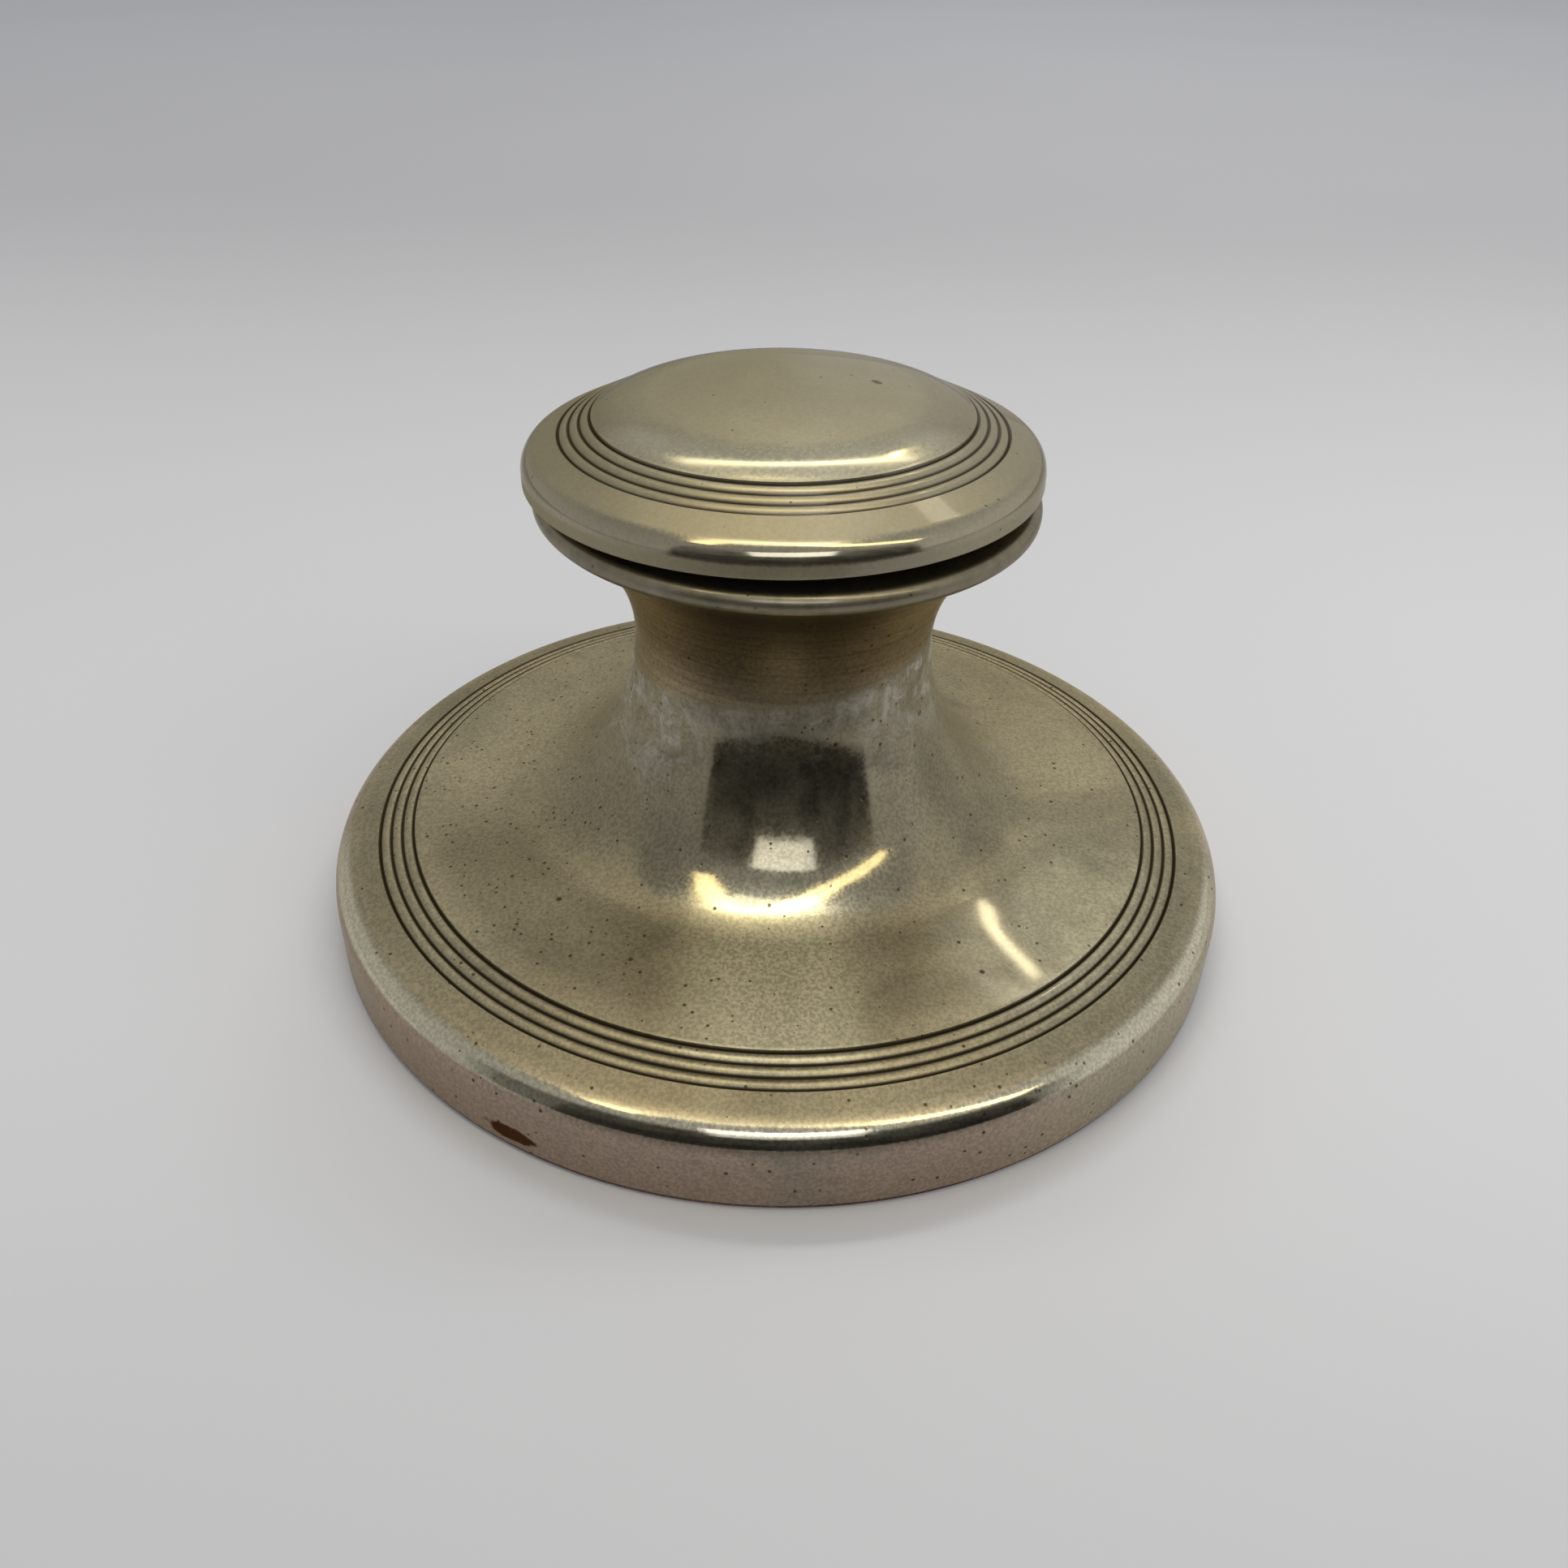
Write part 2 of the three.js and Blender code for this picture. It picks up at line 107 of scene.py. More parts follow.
class StandSizes(PropertyGroup):
    """Foot, skirt, neck and trumpet of the spun shell."""

    gauge: length("Gauge", "Thickness of the sheet", 0.0008)
    foot_radius: length("Foot radius", "Radius of the rim's upright wall", 0.0593)
    foot_height: length("Foot height", "Height at which the sheet ends over the cover", 0.0007)
    foot_edge: length("Foot edge", "Rounding of the sheet's lower edge", 0.0002)
    shoulder_radius: length("Shoulder", "Radius of the bend from rim to band", 0.0043)
    band_slope: angle("Band slope", "Fall of the reeded band", 15)
    band_setback: length("Band setback", "From the rim to the outermost groove", 0.0062)
    groove_height: length("Groove height", "Height of the outermost groove", 0.012)
    groove_width: length("Groove width", "Width of each groove", 0.0005)
    groove_depth: length("Groove depth", "Depth of each groove", 0.00032)
    reed_pitch: length("Reed pitch", "From groove to groove, level", 0.00144)
    reeds: IntProperty(name="Reeds", description="Reeds between the grooves", default=3, min=1)
    band_margin: length("Band margin", "From the innermost groove to the skirt", 0.0005)
    skirt_slope: angle("Skirt slope", "Fall of the skirt", 9)
    seat_height: length("Seat height", "Height at which the collar is seated", 0.0556)
    collar_overhang: length("Collar overhang", "Collar beyond the trumpet's edge", 0.0009)
    waist_radius: length("Waist radius", "Radius of the neck where it is slimmest", 0.01865)
    waist_share: share("Waist height share", "Waist height over seat height", 0.703)
    flare_share: share("Flare run share", "Run of the flare over its rise", 0.661)
    sweep_share: share("Sweep radius share", "Radius of the sweep over the flare's run", 0.945)
    sides: IntProperty(name="Sides", description="Sides of the broad forms", default=224, min=24)


class CollarSizes(PropertyGroup):
    """The ring on the neck, the sleeve under it and the glass pot in it."""

    radius: length("Collar radius", "Outer radius", 0.03)
    thickness: length("Collar thickness", "Thickness of the ring", 0.0026)
    edge: length("Collar edge", "Rounding of its outer edge", 0.0012)
    corner: length("Collar corner", "Rounding of its inner corners", 0.0001)
    hole_radius: length("Hole radius", "Radius of the hole for the pot", 0.0149)
    seat_clearance: length("Seat clearance", "Play round the pot's flange", 0.0004)
    seat_depth: length("Seat depth", "Depth of the rebate for the flange", 0.0008)
    sleeve_wall: length("Sleeve wall", "Thickness of the sleeve", 0.0005)
    sleeve_floor: length("Sleeve floor", "Thickness of its floor", 0.0006)
    pot_clearance: length("Pot clearance", "Play round the pot", 0.0005)
    pot_wall: length("Pot wall", "Thickness of the glass", 0.0018)
    pot_floor: length("Pot floor", "Thickness of the glass floor", 0.0026)
    pot_length: length("Pot length", "From the flange down", 0.035)
    pot_foot: length("Pot foot", "Rounding of the glass floor's edge", 0.002)
    flange_overlap: length("Flange overlap", "Flange beyond the hole", 0.0027)
    flange_thickness: length("Flange thickness", "Thickness of the flange", 0.0016)
    flange_edge: length("Flange edge", "Rounding of the flange", 0.0005)
    floor_clearance: length("Floor clearance", "Play under the pot", 0.0008)


class LidSizes(PropertyGroup):
    """The domed lid and the plate that closes it."""

    gauge: length("Gauge", "Thickness of the sheet", 0.0008)
    overhang: length("Overhang", "Lid beyond the collar", 0.0005)
    setback: length("Setback", "How far the lid sits towards the hinge", 0.00075)
    rim_gap: length("Rim gap", "Gap between the lid and the collar at the hinge", 0.0005)
    rim_edge: length("Rim edge", "Rounding of the rim's lower edge", 0.0002)
    ajar: angle("Ajar", "How far the lid stands open at rest", 1.5)
    shoulder_radius: length("Shoulder", "Radius of the bend from rim to band", 0.0026)
    band_slope: angle("Band slope", "Fall of the reeded band", 25)
    band_setback: length("Band setback", "From the rim to the outermost groove", 0.0045)
    groove_height: length("Groove height", "Height of the outermost groove", 0.0052)
    groove_width: length("Groove width", "Width of each groove", 0.00045)
    groove_depth: length("Groove depth", "Depth of each groove", 0.00028)
    reed_pitch: length("Reed pitch", "From groove to groove, level", 0.00123)
    reeds: IntProperty(name="Reeds", description="Reeds between the grooves", default=3, min=1)
    band_margin: length("Band margin", "From the innermost groove to the cushion", 0.00035)
    apex_height: length("Apex height", "Height of the crown over the rim", 0.01067)
    crown_radius: length("Crown radius", "Radius of the crown's curve", 0.08)
    cushion_radius: length("Cushion radius", "Radius of the curve round the crown", 0.011)
    plate_thickness: length("Plate thickness", "Thickness of the plate", 0.0008)
    plate_recess: length("Plate recess", "How far the plate sits in", 0.0002)
    plate_clearance: length("Plate clearance", "Play round the plate", 0.0003)


class HingeSizes(PropertyGroup):
    """The five-knuckle hinge between two bearers."""

    knuckle_radius: length("Knuckle radius", "Outer radius of a knuckle", 0.0013)
    knuckle_length: length("Knuckle length", "Length of a knuckle", 0.0026)
    knuckle_gap: length("Knuckle gap", "Gap between two knuckles", 0.0001)
    knuckles: IntProperty(name="Knuckles", description="Number of knuckles", default=5, min=3)
    knuckle_edge: length("Knuckle edge", "Rounding of a knuckle's ends", 0.00012)
    pin_radius: length("Pin radius", "Radius of the pin", 0.0006)
    pin_clearance: length("Pin clearance", "Play round the pin", 0.00005)
    bearer_clearance: length("Bearer clearance", "Play between knuckle and bearer", 0.00015)
    bearer_wall: length("Bearer wall", "Metal behind the bearer's groove", 0.0006)
    bearer_split: length("Bearer split", "Half the gap between the bearers", 0.00015)
    bearer_edge: length("Bearer edge", "Rounding of the bearers' edges", 0.00008)
    opening: angle("Opening", "How far the lid opens", 105)
    stop_slack: angle("Stop slack", "Play before the bearers meet", 1)
    notch_clearance: length("Notch clearance", "Play beside and before the bearers", 0.0003)
    notch_floor: length("Notch floor", "Play above and under the bearers", 0.0002)
    notch_overrun: length("Notch overrun", "How far the notch's cutter reaches out", 0.005)


class BaseSizes(PropertyGroup):
    """The cover glued under the foot."""

    cover_inset: length("Cover inset", "Cover short of the foot's edge", 0.0003)
    cover_edge: length("Cover edge", "Rounding of the cover's edge", 0.0002)


class SilverLook(PropertyGroup):
    """Colours and wear of the silver."""

    # The bright colour shows where handling keeps the silver bright. It is also used for painted
    # light on the shell and a painted highlight on the lid.
    bright_metal: colour("Worn", "Where handling keeps it bright", (0.60, 0.566, 0.42))
    toned: colour("Toned", "The even khaki tone of old silver", (0.284, 0.249, 0.166))
    deep: colour("Deep", "Tarnish in grooves and pits", (0.05, 0.037, 0.02))
    warm: colour("Warm", "Brownish tone of the neck", (0.36, 0.275, 0.165))
    rosy: colour("Rosy", "Pinkish tone of the rim", (0.35, 0.26, 0.195))
    smoke: colour("Smoke", "Greyer clouds of tarnish", (0.205, 0.186, 0.132))
    residue: colour("Residue", "Dried polish round the neck's foot", (0.6, 0.6, 0.55))
    rust: colour("Stain", "Brown stain low on the rim", (0.1, 0.038, 0.012))
    gloss: share("Worn roughness", "Roughness where it is bright", 0.12)
    satin: share("Toned roughness", "Roughness where it is toned", 0.45)
    edge: colour("Grazing", "Tone of the metal seen along its surface", (0.62, 0.58, 0.48))
    film: share("Film", "Thin clear film of old polish over the metal", 0.35)
    dent: length("Dent depth", "Depth of the soft unevenness of spun sheet", 0.00006)


class OtherLook(PropertyGroup):
    """Colours of the glass, brass, leather, wood and plaster."""

    glass: colour("Glass", "Clear glass with a breath of green", (0.93, 0.97, 0.95))
    brass: colour("Brass", "Brass of the sleeve", (0.62, 0.44, 0.19))
    brass_dull: colour("Dull brass", "Where the brass has gone brown", (0.26, 0.16, 0.07))
    leather: colour("Leather", "Leather of the cover", (0.085, 0.03, 0.018))
    leather_worn: colour("Worn leather", "Where the leather is rubbed", (0.17, 0.075, 0.045))
    wood: colour("Wood", "Pale wood of the board", (0.36, 0.21, 0.11))
    wood_dark: colour("Dark wood", "Its darker rings", (0.17, 0.085, 0.04))
    plaster: colour("Plaster", "The weighting", (0.62, 0.57, 0.47))


class StageLook(PropertyGroup):
    """The table, the lamps and the camera."""

    floor: colour("Table", "Pale table", (0.53, 0.553, 0.63))
    floor_radius: length("Table radius", "How far the table reaches", 4.0)
    wall: colour("Wall", "The pale room round the table", (1.0, 1.0, 0.99))
    ceiling: length("Ceiling", "Height of the lamps over the table", 1.5)
    eye: place("Camera", "Where the camera stands", (-0.10878, -0.10878, 0.12272))
    aim: place("Aim", "The point that it looks at", (0.00045, -0.00045, 0.0142))
    roll: angle("Roll", "How far it is tilted sideways", 1.73)
    lens: FloatProperty(
        name="Lens", description="Focal length in millimetres", default=31.68, min=1
    )
    dark_card: BoolProperty(
        name="Dark card",
        description="A dark room beyond the table's near edge, seen in the metal alone",
        default=True,
    )
    dark_left: angle("Dark to the left", "How far the dark room reaches to the left", 45)
    dark_right: angle("Dark to the right", "How far the dark room reaches to the right", 57)


class Pen:
    """Draws an outline in radius and height, corner by corner, and spins it about Z."""

    def __init__(self, radius, height):
        self.bm = bmesh.new()
        self.tip = self.first = self.bm.verts.new((radius, 0, height))

    def move(self, radius, height):
        """Goes on at another place without drawing."""
        self.tip = self.bm.verts.new((radius, 0, height))

    def line(self, radius, height):
        """Draws a straight line."""
        corner = self.bm.verts.new((radius, 0, height))
        self.bm.edges.new((self.tip, corner))
        self.tip = corner

    def flat(self, radius, height, margin=0.0001):
        """Draws a straight line with a corner close to each end, so that it shades straight."""
        start = Vector((self.tip.co.x, self.tip.co.z))
        end = Vector((radius, height))
        step = (end - start).normalized() * margin
        self.line(*(start + step))
        self.line(*(end - step))
        self.line(radius, height)

    def arc(self, centre, turn, steps):
        """Draws an arc about a centre. A positive turn goes from up towards outwards."""
        radius, height = Vector(centre)
        made = bmesh.ops.spin(
            self.bm,
            geom=[self.tip],
            cent=(radius, 0, height),
            axis=(0, 1, 0),
            angle=turn,
            steps=steps,
            use_merge=False,
            use_normal_flip=False,
            use_duplicate=False,
        )
        self.tip = next(v for v in made["geom_last"] if isinstance(v, bmesh.types.BMVert))

    def close(self):
        """Draws the last line back to the first corner."""
        self.bm.edges.new((self.tip, self.first))

    def spun(self, sides):
        """The closed solid of revolution, with its faces outwards."""
        bmesh.ops.spin(
            self.bm,
            geom=self.bm.verts[:] + self.bm.edges[:],
            cent=(0, 0, 0),
            axis=(0, 0, 1),
            angle=2 * math.pi,
            steps=sides,
            use_merge=True,
            use_normal_flip=False,
            use_duplicate=False,
        )
        bmesh.ops.remove_doubles(self.bm, verts=self.bm.verts, dist=1e-7)
        bmesh.ops.recalc_face_normals(self.bm, faces=self.bm.faces)
        return self.bm


def normal_of(slope):
    """Unit vector square to a surface that falls outwards at that slope."""
    return Vector((math.sin(slope), math.cos(slope)))


def on_arc(centre, radius, slope):
    """The point of an arc where its surface has that slope."""
    return centre + radius * normal_of(slope)


def draw_reeds(pen, groove, sizes):
    """Draws the grooves of a band with a crowned reed between each two."""
    slope = sizes.band_slope
    inward = Vector((-math.cos(slope), math.sin(slope)))
    pitch = sizes.reed_pitch / math.cos(slope)
    depth = sizes.groove_depth
    crown = (pitch * pitch / 4 + depth * depth) / (2 * depth)
    half = math.asin(pitch / 2 / crown)

    def spot(along, sunk):
        return groove + inward * along - normal_of(slope) * sunk

    pen.flat(*spot(-sizes.groove_width / 2, 0))
    pen.line(*spot(0, depth))
    for reed in range(sizes.reeds):
        pen.arc(spot(pitch * (reed + 0.5), crown), -2 * half, steps=10)
    pen.line(*spot(pitch * sizes.reeds + sizes.groove_width / 2, 0))


def begin_rim(sizes, radius, height, edge, steps):
    """Draws a rim from its lower edge over its wall, shoulder and reeded band.

    Returns the pen, the centre of the shoulder's bend and the band's inner edge.
    """
    band = Vector((radius - sizes.band_setback, sizes.groove_height))
    corner = band.y - sizes.band_setback * math.tan(sizes.band_slope)
    tangent = sizes.shoulder_radius * math.tan((RIGHT_ANGLE - sizes.band_slope) / 2)
    shoulder = Vector((radius - sizes.shoulder_radius, corner - tangent))
    run = sizes.reeds * sizes.reed_pitch + sizes.band_margin
    inner = Vector((band.x - run, band.y + run * math.tan(sizes.band_slope)))
    pen = Pen(radius - edge, height)
    pen.arc((radius - edge, height + edge), -RIGHT_ANGLE, steps=4)
    pen.flat(radius, shoulder.y)
    pen.arc(shoulder, sizes.band_slope - RIGHT_ANGLE, steps)
    draw_reeds(pen, band, sizes)
    pen.line(*inner)
    return pen, shoulder, inner


def end_rim(pen, sizes, shoulder, radius, height):
    """Draws the inside of a rim back down to its lower edge, and spins the sheet."""
    pen.line(*on_arc(shoulder, sizes.shoulder_radius - sizes.gauge, sizes.band_slope))
    pen.arc(shoulder, RIGHT_ANGLE - sizes.band_slope, steps=6)
    pen.line(radius - sizes.gauge, height)
    pen.close()
    return pen.spun(bpy.context.scene.inkwell_stand.sides)


def spun_disc(radius, low, high, edge):
    """A disc with its lower edge rounded."""
    pen = Pen(0, low)
    pen.line(radius - edge, low)
    pen.arc((radius - edge, low + edge), -RIGHT_ANGLE, steps=4)
    pen.line(radius, high)
    pen.line(0, high)
    return pen.spun(sides=160)


def spun_rod(bore, radius, half, edge, steps, sides):
    """A rod, or a tube with that bore, centred on Z = 0 with both ends rounded."""
    pen = Pen(bore, -half)
    pen.line(radius - edge, -half)
    pen.arc((radius - edge, edge - half), -RIGHT_ANGLE, steps)
    pen.line(radius, half - edge)
    pen.arc((radius - edge, half - edge), -RIGHT_ANGLE, steps)
    pen.line(bore, half)
    if bore:
        pen.close()
    return pen.spun(sides)


def add_object(name, bm, material=None):
    """An object of that mesh, in the scene."""
    mesh = bpy.data.meshes.new(name)
    bm.to_mesh(mesh)
    bm.free()
    if material:
        mesh.materials.append(material)
    made = bpy.data.objects.new(name, mesh)
    bpy.context.scene.collection.objects.link(made)
    return made


def finish_piece(name, bm, material, body, node, sharp=30):
    """Makes the piece, shades it smooth but for its sharp edges, and ties it to the frame."""
    for face in bm.faces:
        face.smooth = True
    for edge in bm.edges:
        if len(edge.link_faces) == 2:
            edge.smooth = edge.calc_face_angle(0) < math.radians(sharp)
    piece = add_object(name, bm, material)
    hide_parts(node)
    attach(piece, body)


def scene_sizes():
    """The property groups of the scene: stand, collar, lid, hinge, base."""
    scene = bpy.context.scene
    return (
        scene.inkwell_stand,
        scene.inkwell_collar,
        scene.inkwell_lid,
        scene.inkwell_hinge,
        scene.inkwell_base,
    )


def levels():
    """Heights and radii that follow from the sizes."""
    stand, collar, lid, hinge, _ = scene_sizes()
    top = stand.seat_height + collar.thickness
    pot_seat = top - collar.seat_depth
    pot_bottom = pot_seat - collar.pot_length
    groove = hinge.knuckle_radius + hinge.bearer_clearance
    return {
        "collar_top": top,
        "pot_seat": pot_seat,
        "pot_bottom": pot_bottom,
        "sleeve_inside": pot_bottom - collar.floor_clearance,
        "flange_radius": collar.hole_radius + collar.flange_overlap,
        "hinge_height": top + lid.rim_gap / 2,
        "hinge_width": hinge.knuckles * hinge.knuckle_length
        + (hinge.knuckles - 1) * hinge.knuckle_gap,
        "groove": groove,
        "reach": groove + hinge.bearer_wall,
    }


def hinge_place():
    """Where the hinge's own frame stands on the stand."""
    collar = bpy.context.scene.inkwell_collar
    return Matrix.Translation((0, collar.radius, levels()["hinge_height"]))


def lid_place():
    """Where the lid's own frame stands at rest, with its zero on the hinge axis."""
    lid = bpy.context.scene.inkwell_lid
    return hinge_place() @ Matrix.Rotation(-lid.ajar, 4, "X")


def lid_centre():
    """From the lid's own frame to the middle of its rim."""
    _, collar, lid, _, _ = scene_sizes()
    return Matrix.Translation((0, lid.setback - collar.radius, lid.rim_gap / 2))


def cut_box(bm, low, high):
    """Cuts a box out of a closed mesh and returns the mesh that is left."""
    box = bmesh.new()
    bmesh.ops.create_cube(box, size=1)
    size = Vector(high) - Vector(low)
    middle = (Vector(high) + Vector(low)) / 2
    bmesh.ops.scale(box, vec=size, verts=box.verts)
    bmesh.ops.translate(box, vec=middle, verts=box.verts)
    whole, cutter = add_object("whole", bm), add_object("cutter", box)
    cut = whole.modifiers.new("notch", "BOOLEAN")
    cut.operation = "DIFFERENCE"
    cut.solver = "EXACT"
    cut.object = cutter
    ready = whole.evaluated_get(bpy.context.evaluated_depsgraph_get())
    left = bmesh.new()
    left.from_mesh(ready.to_mesh())
    ready.to_mesh_clear()
    for held in (whole, cutter):
        mesh = held.data
        bpy.data.objects.remove(held)
        bpy.data.meshes.remove(mesh)
    return left


def notch_box(low, high):
    """Corners of the hinge's notch between two heights, in the part's frame."""
    _, collar, _, hinge, _ = scene_sizes()
    at = levels()
    side = at["hinge_width"] / 2 + hinge.notch_clearance
    front = collar.radius - at["reach"] - hinge.notch_clearance
    back = collar.radius + hinge.notch_overrun
    return (-side, front, low), (side, back, high)


class Nodes:
    """Draws a tree of shader nodes. An input may be a value or the output of another node."""

    def __init__(self, tree):
        self.tree = tree

    def put(self, node, inputs):
        """Sets or links the inputs of a node."""
        for key, value in inputs.items():
            socket = node.inputs[key]
            if isinstance(value, bpy.types.NodeSocket):
                self.tree.links.new(value, socket)
            else:
                socket.default_value = (*value, 1.0) if socket.type == "RGBA" else value

    def add(self, kind, inputs, **settings):
        """The outputs of a new node with those settings and inputs."""
        made = self.tree.nodes.new("ShaderNode" + kind)
        for key, value in settings.items():
            setattr(made, key, value)
        self.put(made, inputs)
        return made.outputs

    def math(self, operation, *terms):
        """One step of arithmetic."""
        return self.add("Math", dict(enumerate(terms)), operation=operation)[0]

    def times(self, *factors):
        """A product."""
        return reduce(lambda first, second: self.math("MULTIPLY", first, second), factors)

    def plus(self, *terms):
        """A sum."""
        return reduce(lambda first, second: self.math("ADD", first, second), terms)

    def most(self, *terms):
        """The largest of some values."""
        return reduce(lambda first, second: self.math("MAXIMUM", first, second), terms)

    def minus(self, first, second):
        """A difference."""
        return self.math("SUBTRACT", first, second)

    def vector(self, operation, *terms):
        """The outputs of one step of arithmetic on places."""
        return self.add("VectorMath", dict(enumerate(terms)), operation=operation)

    def split(self, spot):
        """The three parts of a place."""
        return self.add("SeparateXYZ", {"Vector": spot})

    def ramp(self, value, low, high, start=0.0, end=1.0):
        """A value eased from one range into another."""
        return self.add(
            "MapRange",
            {"Value": value, "From Min": low, "From Max": high, "To Min": start, "To Max": end},
            interpolation_type="SMOOTHSTEP",
        )["Result"]

    def where(self, mask, amount, elsewhere=1.0):
        """One amount where a mask is, and another elsewhere."""
        return self.ramp(mask, 0.0, 1.0, elsewhere, amount)

    def blend(self, amount, first, second, how="MIX"):
        """Two colours mixed by an amount."""
        inputs = {0: amount, 6: first, 7: second}
        return self.add("Mix", inputs, data_type="RGBA", blend_type=how)[2]

    def shaded(self, colour, shade):
        """A colour times a shade."""
        return self.blend(1.0, colour, shade, "MULTIPLY")

    def cloud(self, spot, scale, detail=4.0, roughness=0.55, distortion=0.0):
        """Soft noise from nought to one."""
        inputs = {"Vector": spot, "Scale": scale, "Detail": detail, "Roughness": roughness}
        return self.add("TexNoise", {**inputs, "Distortion": distortion})[0]

    def group(self, name, **inputs):
        """The outputs of a shared group."""
        return self.add("Group", inputs, node_tree=bpy.data.node_groups[name])

    def zone(self, value, low, high, fade):
        """A mask that is one where a value lies between two limits."""
        return self.group("zone", Value=value, Low=low, High=high, Fade=fade)["Mask"]


def new_group(name, inputs, outputs):
    """An empty group with named sockets: its nodes, what it is given and its end."""
    tree = bpy.data.node_groups.new(name, "ShaderNodeTree")
    for side, labels in (("INPUT", inputs), ("OUTPUT", outputs)):
        for label in labels:
            kind = "NodeSocketVector" if label in ("Place", "Ring") else "NodeSocketFloat"
            tree.interface.new_socket(name=label, in_out=side, socket_type=kind)
    given = tree.nodes.new("NodeGroupInput").outputs
    return Nodes(tree), given, tree.nodes.new("NodeGroupOutput")


def build_turned():
    """Group: radius and height of a point on turned work, and a spot that runs with them."""
    nodes, given, out = new_group("turned place", ["Place"], ["Radius", "Height", "Ring"])
    parts = nodes.split(given["Place"])
    level = nodes.add("CombineXYZ", {"X": parts["X"], "Y": parts["Y"]})[0]
    radius = nodes.vector("LENGTH", level)["Value"]
    ring = nodes.add("CombineXYZ", {"X": radius, "Y": parts["Z"]})[0]
    nodes.put(out, {"Radius": radius, "Height": parts["Z"], "Ring": ring})


def build_zone():
    """Group: a mask that is one between two values and fades at both."""
    nodes, given, out = new_group("zone", ["Value", "Low", "High", "Fade"], ["Mask"])
    masks = []
    for edge in ("Low", "High"):
        start = nodes.minus(given[edge], given["Fade"])
        end = nodes.plus(given[edge], given["Fade"])
        masks.append(nodes.ramp(given["Value"], start, end))
    nodes.put(out, {"Mask": nodes.minus(*masks)})


def build_grooves():
    """Group: a mask that is one in each of a row of ring grooves."""
    labels = ["Radius", "First", "Pitch", "Reeds", "Width"]
    nodes, given, out = new_group("ring grooves", labels, ["Mask"])
    inside = nodes.minus(given["First"], given["Radius"])
    along = nodes.math("DIVIDE", inside, given["Pitch"])
    nearest = nodes.most(nodes.math("ROUND", along), 0.0)
    capped = nodes.math("MINIMUM", nearest, given["Reeds"])
    away = nodes.math("ABSOLUTE", nodes.minus(along, capped))
    distance = nodes.times(away, given["Pitch"])
    near, far = nodes.times(given["Width"], 0.2), nodes.times(given["Width"], 0.62)
    nodes.put(out, {"Mask": nodes.ramp(distance, near, far, 1.0, 0.0)})


def build_tarnish():
    """Group: clouds and fine mottling of tarnish, and the soft dents of spun sheet."""
    labels = ["Place", "Clouds", "Mottle"]
    nodes, given, out = new_group("tarnish", labels, ["Cloud", "Mottle", "Dents"])
    broad = nodes.cloud(given["Place"], given["Clouds"], 5.0, 0.6, 0.6)
    fine = nodes.cloud(given["Place"], given["Mottle"], 3.0, 0.65)
    dents = nodes.cloud(given["Place"], nodes.times(given["Clouds"], 1.7), 2.0, 0.4)
    broad, fine = nodes.ramp(broad, 0.36, 0.64), nodes.ramp(fine, 0.3, 0.7)
    nodes.put(out, {"Cloud": broad, "Mottle": fine, "Dents": dents})


def build_pits():
    """Group: small round pits, each cell's pit there or not by chance."""
    nodes, given, out = new_group("pits", ["Place", "Scale", "Share", "Size"], ["Mask"])
    cells = nodes.add("TexVoronoi", {"Vector": given["Place"], "Scale": given["Scale"]})
    chance = nodes.add("SeparateColor", {"Color": cells["Color"]})
    there = nodes.math("LESS_THAN", chance["Red"], given["Share"])
    size = nodes.times(given["Size"], nodes.where(chance["Green"], 1.0, 0.35))
    spot = nodes.ramp(cells["Distance"], nodes.times(size, 0.45), size, 1.0, 0.0)
    nodes.put(out, {"Mask": nodes.times(there, spot)})


def build_spin_lines():
    """Group: fine lines round turned work, as the burnisher and the cloth leave them."""
    nodes, given, out = new_group("spin lines", ["Ring", "Place", "Scale"], ["Lines"])
    scaled = {0: given["Place"], "Scale": 0.012}
    drift = nodes.add("VectorMath", scaled, operation="SCALE")[0]
    spot = nodes.vector("ADD", given["Ring"], drift)[0]
    nodes.put(out, {"Lines": nodes.cloud(spot, given["Scale"], 4.0, 0.7)})


class Finish(Nodes):
    """The nodes of one material, with its shader and the place on its piece."""

    def __init__(self, name, matrix=Matrix.Identity(4)):
        self.material = bpy.data.materials.new(name)
        self.material.use_nodes = True
        super().__init__(self.material.node_tree)
        self.tree.nodes.clear()
        self.shader = self.tree.nodes.new("ShaderNodeBsdfPrincipled")
        self.add("OutputMaterial", {"Surface": self.shader.outputs[0]})
        spot = self.add("TexCoord", {})["Object"]
        inputs = {"Vector": spot, "Location": matrix.translation, "Rotation": matrix.to_euler()}
        self.spot = self.add("Mapping", inputs, vector_type="TEXTURE")[0]

    def give(self, inputs):
        """Sets or links inputs of the shader."""
        self.put(self.shader, inputs)

    def roughen(self, height, depth):
        """Puts a bump of that depth on the shader's normal."""
        inputs = {"Height": height, "Strength": 1.0, "Distance": depth}
        self.give({"Normal": self.add("Bump", inputs)[0]})

    def turned(self):
        """Radius, height and ring of the place."""
        return self.group("turned place", Place=self.spot)

    def tarnish(self, clouds, mottle):
        """Clouds, mottling and dents of those scales."""
        return self.group("tarnish", Place=self.spot, Clouds=clouds, Mottle=mottle)

    def spin_lines(self, turned, scale):
        """Lines of the burnisher, of that scale."""
        ring = turned["Ring"]
        return self.group("spin lines", Ring=ring, Place=self.spot, Scale=scale)["Lines"]

    def pits(self, scale, share, size):
        """Pits of that scale, with a share of the cells pitted."""
        return self.group("pits", Place=self.spot, Scale=scale, Share=share, Size=size)["Mask"]


